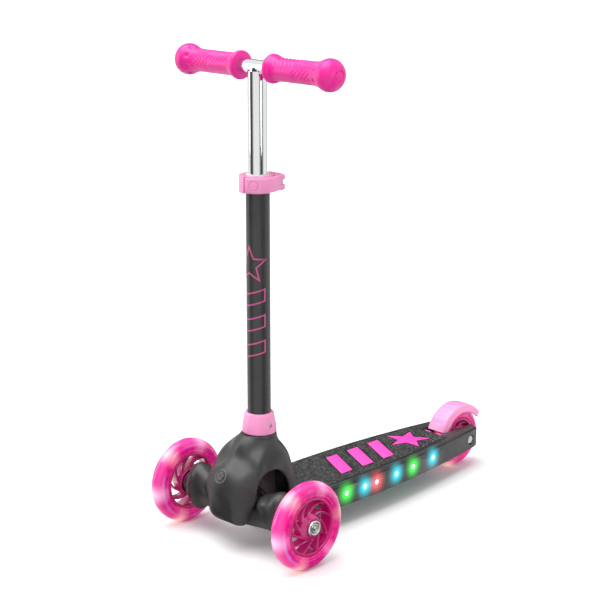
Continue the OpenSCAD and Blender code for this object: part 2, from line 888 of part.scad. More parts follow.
module rear_axle_spacers() {
    color(steel) for (end = [0, 1]) mirror([0, end, 0])
        translate([rear_axle_x, 0, rear_axle_z]) along_y()
            ring(6.5, axle_r + run / 2, bearing_in + bearing_w + 0.1, slot_half_w - run);
}

module brake_pivot_pin() {
    color(steel) translate([brake_pin_x, 0, brake_pin_z]) y_bar(brake_pin_r, -26, 26);
}

// Coil about the pivot pin, with one leg under the fender and one on the slot's wall
module brake_spring() {
    color(steel) translate([brake_pin_x, 0, brake_pin_z]) {
        along_y() rotate_extrude() polygon(concat(
            [[3, -4.5]],
            [for (i = [0:6], p = [[4, -4.5 + i * 1.3], [4.8, -3.9 + i * 1.3]]) p],
            [[4, 4.6], [3, 4.6]]
        ));
        translate([3.1, 3, -9]) cube([1.2, 1.2, 9]);
    }
}

// Section of the fender from its crown down to one skirt, and back inside
module fender_section() {
    w = fender_half_w;
    outer = [[fender_r, 9], [fender_r - 2.4, w - 3], [fender_r - 8, w], [fender_r - 10.5, w]];
    inner = [
        [fender_r - 10.5, w - 2.4], [fender_r - 8, w - 2.6],
        [fender_r - fender_t - 2, w - 5], [fender_r - fender_t, 8]
    ];
    half = concat(outer, inner);
    other = [for (i = [7:-1:0]) [half[i][0], -half[i][1]]];
    polygon(concat(half, other));
}

module brake_fender() {
    lug_half_w = fender_half_w - 1.5;
    color(pale_pink) difference() {
        union() {
            // Positive X is forward, so the sweep runs from the front, over the top, to the rear
            translate([rear_axle_x, 0, rear_axle_z]) rotate([90, 0, 0])
                rotate([0, 0, fender_start]) rotate_extrude(angle = fender_sweep, $fn = 96)
                    fender_section();
            translate([brake_pin_x, 0, brake_pin_z]) y_bar(5.5, -lug_half_w, lug_half_w);
            translate([rear_axle_x, 0, rear_axle_z]) rotate([90, 0, 0])
                translate([0, 0, 1 - lug_half_w])
                    arc_ring(fender_r - 0.6, fender_r - fender_t - 0.5, 2 * lug_half_w - 2, 10,
                        fender_start + 4);
        }
        translate([brake_pin_x, 0, brake_pin_z]) {
            y_bar(brake_pin_r + run, -30, 30);
            y_bar(5.7, -6, 6);
            translate([-8, -6, -14]) cube([16, 12, 14]);
        }
    }
}

// ---------------------------------------------------------------- nodes

deck_board();
grip_mat();
deck_graphic();
light_windows_left();
light_windows_right();
light_strip_left();
light_strip_right();
control_board();
battery_tray();
battery_cells();
battery_cover();
battery_cover_screw();
front_housing();
housing_screws();
steering_bracket();
bracket_bolts();
kingpin_bolt();
kingpin_nut();
column_tube();
column_bushing();
lower_collar();
lower_collar_screw();
clamp_collar();
clamp_bolt();
lever_pivot_pin();
rear_axle_bolt();
rear_axle_nut();
rear_axle_spacers();
brake_pivot_pin();
brake_spring();
truck_beam();
kingpin_bushes();
centring_cushion();
front_axle_bolts();
front_axle_nuts();
front_axle_spacers();
front_tyre_left();
front_core_left();
front_bearings_left();
front_magnet_spacer_left();
front_light_ring_left();
front_hub_cap_left();
front_tyre_right();
front_core_right();
front_bearings_right();
front_magnet_spacer_right();
front_light_ring_right();
front_hub_cap_right();
rear_tyre();
rear_core();
rear_bearings();
rear_bearing_spacer();
brake_fender();
stem_tube();
crossbar();
grip_left();
grip_right();
stem_plug();
clamp_lever();
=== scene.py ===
import itertools
import json
import math
import random

import bmesh
import bpy
import numpy as np
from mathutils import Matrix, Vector


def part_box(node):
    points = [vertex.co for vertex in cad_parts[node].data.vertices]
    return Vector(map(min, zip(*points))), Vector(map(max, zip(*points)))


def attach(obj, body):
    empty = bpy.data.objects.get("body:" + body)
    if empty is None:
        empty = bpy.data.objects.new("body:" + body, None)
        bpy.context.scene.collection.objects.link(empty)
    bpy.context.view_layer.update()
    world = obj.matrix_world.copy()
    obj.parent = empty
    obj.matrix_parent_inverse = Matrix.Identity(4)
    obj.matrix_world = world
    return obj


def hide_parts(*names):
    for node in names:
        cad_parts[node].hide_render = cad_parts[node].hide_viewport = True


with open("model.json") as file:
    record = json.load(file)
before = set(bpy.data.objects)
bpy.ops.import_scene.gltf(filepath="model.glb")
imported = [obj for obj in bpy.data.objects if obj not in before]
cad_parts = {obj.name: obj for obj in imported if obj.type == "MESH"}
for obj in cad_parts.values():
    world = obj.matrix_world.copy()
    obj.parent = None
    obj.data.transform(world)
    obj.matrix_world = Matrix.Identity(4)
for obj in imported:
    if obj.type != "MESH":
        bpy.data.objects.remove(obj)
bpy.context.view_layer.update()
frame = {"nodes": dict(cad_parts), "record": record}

# Shapes are worked out in millimetres in the row frame, and made in metres.
MM = 0.001


def span(node):
    """Lowest and highest corner of a CAD node, in millimetres."""
    low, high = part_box(node)
    return np.array(low) / MM, np.array(high) / MM


def middle(node):
    low, high = span(node)
    return (low + high) / 2


def half_size(node):
    low, high = span(node)
    return (high - low) / 2


COLUMN_X = middle("column_tube")[0]
COLUMN_R = half_size("column_tube")[1]
BAR_Z = middle("crossbar")[2]
BAR_R = half_size("crossbar")[2]
BAR_HALF = span("grip_left")[1][1]
STEM_R = half_size("stem_tube")[1]
FRONT_AXLE = middle("front_tyre_left")
REAR_AXLE = middle("rear_tyre")
FRONT_R = FRONT_AXLE[2]
REAR_R = REAR_AXLE[2]
NECK_TOP = span("front_housing")[1][2]
MAT_LOW, MAT_HIGH = span("grip_mat")
DECK_TOP = MAT_LOW[2]
DECK_HALF = span("deck_board")[1][1]

# ---- mesh helpers


def link(obj):
    bpy.context.scene.collection.objects.link(obj)
    return obj


def grid_faces(rows, cols, wrap_rows=False, wrap_cols=False):
    """Quads of a grid of points numbered row by row."""
    faces = []
    for i in range(rows if wrap_rows else rows - 1):
        for j in range(cols if wrap_cols else cols - 1):
            i1, j1 = (i + 1) % rows, (j + 1) % cols
            faces.append((i * cols + j, i * cols + j1, i1 * cols + j1, i1 * cols + j))
    return faces


def tidy_mesh(mesh):
    """Welds doubled points, drops faces without area and turns every face outwards."""
    bm = bmesh.new()
    bm.from_mesh(mesh)
    bmesh.ops.remove_doubles(bm, verts=bm.verts, dist=1e-6)
    bmesh.ops.dissolve_degenerate(bm, edges=bm.edges, dist=1e-7)
    bmesh.ops.recalc_face_normals(bm, faces=bm.faces)
    bm.to_mesh(mesh)
    bm.free()


def shade(mesh, sharp=None):
    """Smooth shading, with edges sharper than an angle in degrees kept crisp."""
    mesh.shade_smooth()
    if sharp:
        mesh.set_sharp_from_angle(angle=math.radians(sharp))


def piece(name, form, look, body, stands_for=(), sharp=None, clean=True):
    """A new visible piece that rides on a body. form holds (verts, faces)."""
    verts, faces = form
    mesh = bpy.data.meshes.new(name)
    mesh.from_pydata((np.asarray(verts, float) * MM).tolist(), [], [tuple(f) for f in faces])
    if clean:
        tidy_mesh(mesh)
    shade(mesh, sharp)
    obj = link(bpy.data.objects.new(name, mesh))
    settle(obj, look, body, stands_for)
    return obj


def settle(obj, look, body, stands_for=()):
    """Gives a piece its look and its body, and hides the CAD nodes that it stands for."""
    obj.data.materials.clear()
    obj.data.materials.append(MATERIAL[look])
    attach(obj, body)
    if stands_for:
        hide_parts(*stands_for)


def rounded(points, radius, steps=4, closed=True):
    """A polyline with each corner turned into a short curve."""
    points = [np.array(p, float) for p in points]
    count = len(points)
    out = []
    for i, corner in enumerate(points):
        if not closed and i in (0, count - 1):
            out.append(corner)
            continue
        before, after = points[i - 1], points[(i + 1) % count]
        to_before, to_after = before - corner, after - corner
        reach_before = min(radius, np.linalg.norm(to_before) / 2.05)
        reach_after = min(radius, np.linalg.norm(to_after) / 2.05)
        start = corner + to_before / np.linalg.norm(to_before) * reach_before
        end = corner + to_after / np.linalg.norm(to_after) * reach_after
        for k in range(steps + 1):
            t = k / steps
            out.append(start * (1 - t) ** 2 + corner * 2 * t * (1 - t) + end * t ** 2)
    return out


def round_axle(axle, r, a, y=0.0):
    """A place at a radius and an angle round an axle that runs along Y."""
    return (axle[0] + r * math.cos(a), axle[1] + y, axle[2] + r * math.sin(a))


def lathe(profile, count, centre, side=1, relief=None):
    """A form turned about Y. profile holds (radius, place along Y); relief changes the radius."""
    verts = []
    for r, h in profile:
        for j in range(count):
            a = 2 * math.pi * j / count
            cut = relief(a, r, h) if relief and r > 0 else 0.0
            verts.append(round_axle(centre, r + cut, a, side * h))
    return verts, grid_faces(len(profile), count, wrap_rows=True, wrap_cols=True)


def joined(parts):
    """Several (verts, faces) as one."""
    verts, faces = [], []
    for part_verts, part_faces in parts:
        offset = len(verts)
        verts.extend(part_verts)
        faces.extend(tuple(k + offset for k in f) for f in part_faces)
    return verts, faces


def apply_modifiers(obj):
    """Bakes an object's modifiers into its mesh."""
    bpy.context.view_layer.update()
    evaluated = obj.evaluated_get(bpy.context.evaluated_depsgraph_get())
    mesh = bpy.data.meshes.new_from_object(evaluated)
    obj.modifiers.clear()
    obj.data = mesh


def softened(node, name, width, look, body, segments=3, angle=30):
    """A CAD node's own form with its edges rounded, which then stands for the node."""
    mesh = frame["nodes"][node].data.copy()
    bm = bmesh.new()
    bm.from_mesh(mesh)
    bmesh.ops.remove_doubles(bm, verts=bm.verts, dist=2e-6)
    bmesh.ops.dissolve_limit(
        bm, angle_limit=math.radians(1), use_dissolve_boundaries=False, verts=bm.verts, edges=bm.edges
    )
    bm.to_mesh(mesh)
    bm.free()
    obj = link(bpy.data.objects.new(name, mesh))
    bevel = obj.modifiers.new("round", "BEVEL")
    bevel.width = width * MM
    bevel.segments = segments
    bevel.limit_method = "ANGLE"
    bevel.angle_limit = math.radians(angle)
    bevel.use_clamp_overlap = True
    bevel.miter_outer = "MITER_ARC"
    apply_modifiers(obj)
    shade(obj.data, sharp=40)
    settle(obj, look, body, (node,))


# ---- fields for sculpted forms
# A field is negative inside a form and grows by about 1 for each millimetre outside it.


def norm(v):
    return np.sqrt((v * v).sum(-1))


def egg(p, centre, radii):
    radii = np.array(radii, float)
    q = (p - np.array(centre, float)) / radii
    k0 = norm(q)
    k1 = norm(q / radii)
    return k0 * (k0 - 1) / np.maximum(k1, 1e-9)


def limb(p, a, b, r_a, r_b):
    """Two balls and the cone that touches both."""
    a, b = np.array(a, float), np.array(b, float)
    along = b - a
    size = along @ along
    shrink = r_a - r_b
    h = (p - a) @ along
    across = (((p - a) * size - h[..., None] * along) ** 2).sum(-1)
    past = h - size
    cone = size - shrink * shrink
    turn = np.sign(shrink) * shrink * shrink * across
    at_b = np.sqrt(across + past * past * size) / size - r_b
    at_a = np.sqrt(across + h * h * size) / size - r_a
    side = (np.sqrt(across * cone / size) + h * shrink) / size - r_a
    near_a = np.sign(h) * cone * h * h * size < turn
    near_b = np.sign(past) * cone * past * past * size > turn
    return np.where(near_b, at_b, np.where(near_a, at_a, side))


def rod(p, a, b, r, edge=0.0):
    """A round bar with flat ends, its edges rounded."""
    a, b = np.array(a, float), np.array(b, float)
    length = np.linalg.norm(b - a)
    unit = (b - a) / length
    h = (p - (a + b) / 2) @ unit
    away = norm(p - (a + b) / 2 - h[..., None] * unit)
    return flat_pair(away - r, np.abs(h) - length / 2, edge)


def from_upright(p, x, y):
    """How far a place is from an upright line."""
    return np.sqrt((p[..., 0] - x) ** 2 + (p[..., 1] - y) ** 2)


def flat_pair(d0, d1, edge):
    """The part inside both of two distances, with a rounded edge between them."""
    d0, d1 = d0 + edge, d1 + edge
    outside = np.sqrt(np.maximum(d0, 0) ** 2 + np.maximum(d1, 0) ** 2)
    return outside + np.minimum(np.maximum(d0, d1), 0) - edge


def slab(p, centre, half, edge=0.0):
    q = np.abs(p - np.array(centre, float)) - np.array(half, float) + edge
    return norm(np.maximum(q, 0)) + np.minimum(q.max(-1), 0) - edge


def melt(a, b, k):
    """Both forms, blended over a width k."""
    h = np.clip(0.5 + 0.5 * (b - a) / k, 0, 1)
    return b * (1 - h) + a * h - k * h * (1 - h)


def carve(a, b, k):
    """The first form less the second, blended over a width k."""
    return -melt(-a, b, k)


def folded(p):
    """The same place on the left half, measured from the column, for forms that mirror in it."""
    return np.stack([p[..., 0] - COLUMN_X, np.abs(p[..., 1]), p[..., 2]], -1)


def net(field, low, high, pitch):
    """A closed mesh of even quads over the surface of a field."""
    axes = [np.arange(a - 2 * pitch, b + 3 * pitch, pitch) for a, b in zip(low, high)]
    grid = np.stack(np.meshgrid(*axes, indexing="ij"), -1)
    value = field(grid)
    inside = value < 0
    cells = tuple(n - 1 for n in value.shape)
    total = np.zeros(cells + (3,))
    count = np.zeros(cells)
    for axis in range(3):
        others = [k for k in range(3) if k != axis]
        for shift in itertools.product((0, 1), repeat=2):
            first = [slice(0, cells[k]) for k in range(3)]
            for k, s in zip(others, shift):
                first[k] = slice(s, s + cells[k])
            second = list(first)
            second[axis] = slice(1, 1 + cells[axis])
            v0, v1 = value[tuple(first)], value[tuple(second)]
            crossed = inside[tuple(first)] != inside[tuple(second)]
            t = np.where(crossed, v0 / np.where(crossed, v0 - v1, 1), 0)
            place = grid[tuple(first)].copy()
            place[..., axis] += t * pitch
            total += np.where(crossed[..., None], place, 0)
            count += crossed
    used = count > 0
    number = np.full(cells, -1)
    number[used] = np.arange(used.sum())
    points = total[used] / count[used][:, None]
    faces = []
    for axis in range(3):
        j, k = (axis + 1) % 3, (axis + 2) % 3
        first = [slice(None)] * 3
        second = [slice(None)] * 3
        first[axis], second[axis] = slice(0, -1), slice(1, None)
        crossed = inside[tuple(first)] != inside[tuple(second)]
        for cell in np.argwhere(crossed):
            corner = []
            for dj, dk in ((0, 0), (1, 0), (1, 1), (0, 1)):
                c = cell.copy()
                c[j] -= dj
                c[k] -= dk
                corner.append(number[tuple(c)])
            if not inside[tuple(cell)]:
                corner.reverse()
            faces.append(corner)
    for _ in range(3):
        points = onto(field, points, pitch / 4)
    return points, faces


def slope(field, points, step):
    """Gradient of a field at some points."""
    shifts = np.eye(3) * step
    return np.stack([(field(points + s) - field(points - s)) / (2 * step) for s in shifts], -1)


def onto(field, points, step):
    """Moves points on to a field's surface."""
    g = slope(field, points, step)
    size = np.maximum((g * g).sum(-1), 1e-4)
    move = g * (field(points) / size)[:, None]
    length = norm(move)[:, None]
    return points - move * np.minimum(1, 2 * step / np.maximum(length, 1e-9))


# ---- materials


class Look:
    """Builds the nodes of one material, or of a world."""

    def __init__(self, name, world=False):
        self.owner = (bpy.data.worlds if world else bpy.data.materials).new(name)
        self.owner.use_nodes = True
        self.tree = self.owner.node_tree
        self.shader = self.tree.nodes["Background" if world else "Principled BSDF"]

    def node(self, kind, inputs=(), output=0, **settings):
        n = self.tree.nodes.new("ShaderNode" + kind)
        for key, value in settings.items():
            setattr(n, key, value)
        for key, value in dict(inputs).items():
            self.feed(n.inputs[key], value)
        return n.outputs[output]

    def feed(self, socket, value):
        if isinstance(value, bpy.types.NodeSocket):
            self.tree.links.new(value, socket)
        else:
            socket.default_value = value

    def set(self, **values):
        for key, value in values.items():
            self.feed(self.shader.inputs[key.replace("_", " ")], value)
        return self

    def place(self):
        """Where a point is on its piece, which moves with the piece."""
        return self.node("TexCoord", output="Object")

    def axes(self, place):
        """X, Y and Z of a place."""
        split = self.tree.nodes.new("ShaderNodeSeparateXYZ")
        self.feed(split.inputs[0], place)
        return tuple(split.outputs)

    def noise(self, scale, detail=2.0, rough=0.5, distortion=0.0, place=None):
        inputs = {"Vector": place or self.place(), "Scale": scale, "Detail": detail}
        return self.node("TexNoise", {**inputs, "Roughness": rough, "Distortion": distortion})

    def spread(self, value, low, high, start=0.3, end=0.7):
        return self.node(
            "MapRange",
            {"Value": value, "From Min": start, "From Max": end, "To Min": low, "To Max": high},
        )

    def sums(self, operation, a, b=0.0):
        return self.node("Math", {0: a, 1: b}, operation=operation)

    def times(self, a, b):
        return self.sums("MULTIPLY", a, b)

    def mixed(self, factor, a, b, mode="MIX"):
        n = self.tree.nodes.new("ShaderNodeMix")
        n.data_type = "RGBA"
        n.blend_type = mode
        self.feed(n.inputs[0], factor)
        self.feed(n.inputs[6], a)
        self.feed(n.inputs[7], b)
        return n.outputs[2]

    def between(self, value, a, b):
        """From one colour to the other as a noise goes from low to high."""
        return self.mixed(self.spread(value, 0.0, 1.0), a, b)

    def bump(self, height, strength, distance_mm):
        return self.node("Bump", {"Height": height, "Strength": strength, "Distance": distance_mm * MM})

    def edges(self):
        """1 on outer edges and 0 elsewhere: where wear shows on moulded plastic, painted highlights on the
        wheel cores and paler edges on the grips.
        """
        pointiness = self.node("NewGeometry", output="Pointiness")
        return self.spread(pointiness, 0.0, 1.0, 0.5, 0.58)


def rgb(r, g, b):
    return (r, g, b, 1.0)


def shaded(colour, k):
    return tuple(c * k for c in colour[:3]) + (1.0,)


def toward_white(colour, k):
    return tuple(c + (1 - c) * k for c in colour[:3]) + (1.0,)


def moulded(
    name, colour, rough, grain=1100.0, grain_depth=0.35, mottling=0.12, wear=0.25, coat=0.0, scuffs=0.0
):
    """Moulded plastic: fine grain, slight mottling, uneven gloss and paler worn edges."""
    look = Look(name)
    cloud = look.noise(28.0, 4.0)
    tone = look.between(cloud, shaded(colour, 1 - mottling), toward_white(colour, mottling * 0.12))
    worn = look.times(look.edges(), wear)
    tone = look.mixed(worn, tone, toward_white(colour, 0.3))
    smear = look.noise(70.0, 3.0, 0.6, 0.6)
    gloss = look.spread(smear, rough - 0.06, rough + 0.07)
    fine = look.noise(grain, 2.0)
    normal = look.bump(fine, grain_depth, 0.08)
    if scuffs:
        streak = look.node("Mapping", {"Vector": look.place(), "Scale": (40.0, 900.0, 300.0)})
        scratch = look.spread(look.noise(1.0, 3.0, 0.7, 0.2, streak), 0.0, scuffs, 0.62, 0.75)
        gloss = look.sums("ADD", gloss, scratch)
        tone = look.mixed(look.times(scratch, 0.6), tone, toward_white(colour, 0.25))
    look.set(Base_Color=tone, Roughness=gloss, Normal=normal, Coat_Weight=coat, Coat_Roughness=0.12)
    return look


def metal(name, colour, rough, grain=(200.0, 200.0, 200.0), depth=0.15, smudge=0.08):
    """Bare or plated metal with smudges and fine marks."""
    look = Look(name)
    smear = look.noise(45.0, 4.0, 0.65, 0.8)
    gloss = look.spread(smear, max(rough - smudge / 2, 0.02), rough + smudge)
    streak = look.node("Mapping", {"Vector": look.place(), "Scale": grain})
    fine = look.noise(6.0, 4.0, 0.6, 0.0, streak)
    tone = look.between(fine, shaded(colour, 0.86), colour)
    normal = look.bump(fine, depth, 0.02)
    look.set(Base_Color=tone, Metallic=1.0, Roughness=gloss, Normal=normal)
    return look


HOT_PINK = rgb(1.0, 0.006, 0.36)
PALE_PINK = rgb(0.98, 0.33, 0.62)
GRAPHITE = rgb(0.019, 0.019, 0.020)
BLACK = rgb(0.009, 0.0095, 0.010)
CLEAR_PINK = rgb(0.95, 0.012, 0.30)
MAGENTA = rgb(0.70, 0.003, 0.20)
GREEN_LIGHT = rgb(0.02, 1.0, 0.06)
CYAN_LIGHT = rgb(0.01, 0.72, 0.90)
RED_LIGHT = rgb(1.0, 0.10, 0.12)
WARM_LIGHT = rgb(0.85, 0.9, 0.35)
WHITE_LIGHT = rgb(0.60, 0.85, 1.0)

# Each lamp in the deck's side: how far along the deck, in millimetres, and its colour
DECK_LAMPS = [
    (72, GREEN_LIGHT), (35, CYAN_LIGHT), (10, RED_LIGHT),
    (-34, CYAN_LIGHT), (-73, GREEN_LIGHT), (-123, CYAN_LIGHT),
]
LAMP_Z = middle("light_windows_left")[2]
LAMP_R = half_size("light_windows_left")[2]


def deck_half_width(x):
    """Half the deck's width at a place along it: a long arc, widest near the front."""
    widest_x, side_r = 46, 1490
    return DECK_HALF - (x - widest_x) ** 2 / (2 * side_r)


def glow(look, place, lamps, reach):
    """Painted light, as emission, that spreads through a surface around its lamps. lamps holds (point in mm,
    colour).
    """
    falloff = 2.4
    total = None
    for point, colour in lamps:
        away = look.node(
            "VectorMath", {0: place, 1: tuple(c * MM for c in point)}, output="Value", operation="DISTANCE"
        )
        near = look.node(
            "MapRange", {"Value": away, "From Max": reach * MM, "To Min": 1.0, "To Max": 0.0}
        )
        near = look.sums("POWER", near, falloff)
        tinted = look.mixed(near, rgb(0, 0, 0), colour)
        total = tinted if total is None else look.mixed(1.0, total, tinted, "ADD")
    return total


def deck_plastic():
    look = moulded("deck_plastic", GRAPHITE, 0.40, grain_depth=0.22, scuffs=0.18)
    x, y, z = look.axes(look.place())
    place = look.node("CombineXYZ", {"X": x, "Y": look.sums("ABSOLUTE", y), "Z": z})
    # Painted lamp light: the deck's plastic sides glow, as emission, around each lamp.
    lamps = [((x, deck_half_width(x) + 1, LAMP_Z), colour) for x, colour in DECK_LAMPS]
    look.set(Emission_Color=glow(look, place, lamps, 24.0), Emission_Strength=2.2)
    return look


def lamp_glass(name, colour):
    look = Look(name)
    dust = look.noise(900.0, 2.0)
    look.set(
        Base_Color=toward_white(colour, 0.6),
        Roughness=look.spread(dust, 0.1, 0.22),
        Emission_Color=look.mixed(look.spread(dust, 0.0, 0.5), toward_white(colour, 0.4), colour),
        Emission_Strength=2.6,
        Coat_Weight=0.5,
    )
    return look


def clear_tyre(name, axle, radius, rim_r):
    """Clear pink cast tyre: blocks of the rim show through it, and painted lamp light glows in it from
    inside.
    """
    look = Look(name)
    place = look.place()
    from_axle = look.node("VectorMath", {0: place, 1: tuple(-c * MM for c in axle)})
    x, _, z = look.axes(from_axle)
    away = look.sums("SQRT", look.sums("ADD", look.sums("POWER", x, 2.0), look.sums("POWER", z, 2.0)))
    turn = look.sums("ARCTAN2", z, x)
    cloud = look.noise(16.0, 3.0)
    streak = look.noise(60.0, 3.0, 0.6, 1.5)
    tone = look.between(cloud, CLEAR_PINK, rgb(0.62, 0.0, 0.24))

    def ring(r, strength, core, fade):
        """A ring in the tyre: its strength within a core of its radius, 0 past the fade."""
        off = look.sums("ABSOLUTE", look.sums("SUBTRACT", away, r * MM))
        return look.spread(off, strength, 0.0, core * MM, fade * MM)

    block_count = 24.0
    # Painted reflection: a patchy bluish violet ring in the tyre.
    reflection_violet, dark = rgb(0.45, 0.30, 0.95), rgb(0.42, 0.0, 0.13)
    patchy = look.spread(look.noise(24.0, 2.0), 0.0, 0.75, 0.45, 0.65)
    tone = look.mixed(look.times(ring(radius * 0.86, 1.0, 0.5, radius * 0.05), patchy), tone, reflection_violet)
    blocks = look.spread(look.sums("SINE", look.times(turn, block_count)), 0.0, 1.0, -0.2, 0.5)
    tone = look.mixed(look.times(ring(rim_r + 4.5, 0.55, 3.0, 5.0), blocks), tone, dark)
    # Painted light: the tyre pales towards its tread, like a lit clear edge.
    outer = look.spread(away, 0.0, 0.45, (radius - 5) * MM, radius * MM)
    tone = look.mixed(outer, tone, rgb(1.0, 0.16, 0.55))
    # Painted lamp light: soft coloured glows, as emission, round the tyre where lamps inside would shine
    # through.
    colours = [GREEN_LIGHT, WHITE_LIGHT, WARM_LIGHT, WHITE_LIGHT, WARM_LIGHT, WHITE_LIGHT]
    lamp_r, lamp_reach, first_angle = radius * 0.88, radius * 0.36, 172
    lamps = []
    for i, colour in enumerate(colours):
        at = round_axle(axle, lamp_r, math.radians(first_angle - 60 * i))
        lamps.append((at, toward_white(colour, 0.3)))
    light = glow(look, place, lamps, lamp_reach)
    # Painted glow: a faint pink emission over the whole tyre.
    light = look.mixed(0.10, light, rgb(1.0, 0.02, 0.42))
    look.set(
        Base_Color=tone,
        Roughness=look.spread(streak, 0.08, 0.2),
        IOR=1.45,
        Transmission_Weight=0.25,
        Emission_Color=light,
        Emission_Strength=1.9,
        Coat_Weight=0.5,
        Coat_Roughness=0.05,
        Normal=look.bump(look.noise(240.0, 2.0), 0.12, 0.1),
    )
    return look


def clear_core():
    """Deep magenta clear plastic of the wheel cores, with painted highlights on its edges."""
    look = Look("clear_core")
    cloud = look.noise(60.0, 3.0)
    tone = look.between(cloud, MAGENTA, rgb(0.92, 0.008, 0.32))
    # Painted highlights: paler pink on the outer edges.
    tone = look.mixed(look.times(look.edges(), 0.35), tone, rgb(1.0, 0.12, 0.45))
    look.set(
        Base_Color=tone,
        Roughness=look.spread(look.noise(150.0), 0.12, 0.26),
        Transmission_Weight=0.25,
        IOR=1.5,
        Coat_Weight=0.8,
        Coat_Roughness=0.06,
        Normal=look.bump(look.noise(320.0), 0.1, 0.08),
    )
    return look


def grip_rubber():
    look = Look("grip_rubber")
    cloud = look.noise(34.0, 3.0)
    tone = look.between(cloud, shaded(HOT_PINK, 0.88), HOT_PINK)
    tone = look.mixed(look.times(look.edges(), 0.25), tone, rgb(1.0, 0.1, 0.5))
    look.set(
        Base_Color=tone,
        Roughness=look.spread(look.noise(90.0, 3.0, 0.6, 0.5), 0.3, 0.46),
        Subsurface_Weight=0.12,
        Subsurface_Radius=(1.0, 0.25, 0.5),
        Subsurface_Scale=2 * MM,
        Sheen_Weight=0.15,
        Sheen_Roughness=0.4,
        Coat_Weight=0.12,
        Coat_Roughness=0.25,
        Normal=look.bump(look.noise(1500.0, 2.0), 0.3, 0.06),
    )
    return look


def pink_plastic():
    look = moulded("pink_plastic", PALE_PINK, 0.34, grain_depth=0.14, mottling=0.05, wear=0.35)
    look.set(
        Subsurface_Weight=0.15, Subsurface_Radius=(1.0, 0.35, 0.55), Subsurface_Scale=2 * MM, Coat_Weight=0.2
    )
    return look


def column_paint():
    """Black gloss paint with orange peel and a few rubbed places."""
    look = moulded("column_paint", BLACK, 0.2, 700.0, 0.03, mottling=0.1, wear=0.1, coat=0.12)
    look.set(Specular_IOR_Level=0.32)
    return look


def mat_rubber():
    """Black rubber whose raised cells are paler and speckled."""
    look = moulded("mat_rubber", rgb(0.03, 0.031, 0.032), 0.55, 1600.0, 0.8, mottling=0.35)
    height = look.axes(look.place())[2]
    raised = look.spread(height, 0.0, 1.0, (MAT_LOW[2] + 0.6) * MM, MAT_HIGH[2] * MM)
    speckled = look.spread(look.noise(330.0, 2.0), 0.0, 1.0, 0.42, 0.62)
    speck = look.mixed(speckled, rgb(0.022, 0.022, 0.022), rgb(0.17, 0.17, 0.165))
    look.set(Base_Color=look.mixed(raised, rgb(0.006, 0.006, 0.006), speck))
    return look


def circuit_board():
    look = Look("circuit_green")
    cells = look.node("TexVoronoi", {"Vector": look.place(), "Scale": 220.0}, distance="MANHATTAN")
    tone = look.mixed(look.spread(cells, 0.0, 1.0, 0.1, 0.3), rgb(0.10, 0.08, 0.03), rgb(0.012, 0.02, 0.016))
    look.set(Base_Color=tone, Roughness=look.spread(look.noise(80.0), 0.3, 0.5))
    return look


def make_looks():
    """Looks by name. Most have the name of the slot whose CAD nodes they dress."""
    return {
        "graphite_plastic": moulded("graphite", GRAPHITE, 0.38, grain_depth=0.2, mottling=0.14, wear=0.1),
        "black_plastic": moulded("black_resin", BLACK, 0.45, mottling=0.25, wear=0.4),
        "deck": deck_plastic(),
        "black_grip": mat_rubber(),
        "pink_print": moulded(
            "print_pink", rgb(1.0, 0.045, 0.50), 0.42, 1200.0, 0.5, mottling=0.06, wear=0.15
        ),
        # Painted shade: a darker copy of the pink print, used for the column's outlines.
        "shaded_column_print": moulded("shaded_column_print", rgb(0.60, 0.004, 0.22), 0.35, 1200.0, 0.2),
        "circuit_board": circuit_board(),
        "bright_metal": metal("bright_nickel", rgb(0.82, 0.82, 0.80), 0.22),
        "zinc_steel": metal("zinc_steel", rgb(0.62, 0.63, 0.64), 0.32, depth=0.3),
        "black_paint": column_paint(),
        "natural_nylon": moulded("natural_nylon", rgb(0.78, 0.76, 0.70), 0.45, mottling=0.08),
        "pale_pink_plastic": pink_plastic(),
        "black_rubber": moulded("black_rubber", rgb(0.025, 0.025, 0.025), 0.7, wear=0.5),
        "chrome": metal("chrome", rgb(0.88, 0.89, 0.90), 0.05, (60, 60, 900), 0.02, 0.05),
        "hot_pink_rubber": grip_rubber(),
        "magenta_core": clear_core(),
        "magnet_grey": metal("magnet_grey", rgb(0.35, 0.35, 0.36), 0.4),
        "green_lamp": lamp_glass("green_lamp", GREEN_LIGHT),
        "cyan_lamp": lamp_glass("cyan_lamp", CYAN_LIGHT),
        "red_lamp": lamp_glass("red_lamp", RED_LIGHT),
    }


MATERIAL = {name: look.owner for name, look in make_looks().items()}


def dress_cad_nodes():
    """Each CAD node gets the material of its slot, where there is one."""
    for entry in frame["record"]["subparts"]:
        material = MATERIAL.get(entry["material_slot"])
        if material:
            node = frame["nodes"][entry["node"]]
            node.data.materials.clear()
            node.data.materials.append(material)
            shade(node.data, 30)


# ---- handlebar


def smooth_steps(points, per_span):
    """Points along a smooth curve through given (radius, place) points."""
    pts = [np.array(p, float) for p in points]
    pts = [2 * pts[0] - pts[1]] + pts + [2 * pts[-1] - pts[-2]]
    out = []
    for i in range(1, len(pts) - 2):
        p0, p1, p2, p3 = pts[i - 1:i + 3]
        for k in range(per_span):
            t = k / per_span
            out.append(
                0.5 * (2 * p1 + (p2 - p0) * t + (2 * p0 - 5 * p1 + 4 * p2 - p3) * t ** 2
                       + (3 * p1 - p0 - 3 * p2 + p3) * t ** 3)
            )
    out.append(pts[-2])
    return out


def bell(value, centre, width):
    """1 at the centre, falling smoothly to 0 about a width away."""
    return math.exp(-((value - centre) / width) ** 2)


def window(value, low, high, soft):
    """1 between two places, with soft ends."""
    rise = min(max((value - low) / soft, 0), 1)
    fall = min(max((high - value) / soft, 0), 1)
    return (rise * rise * (3 - 2 * rise)) * (fall * fall * (3 - 2 * fall))


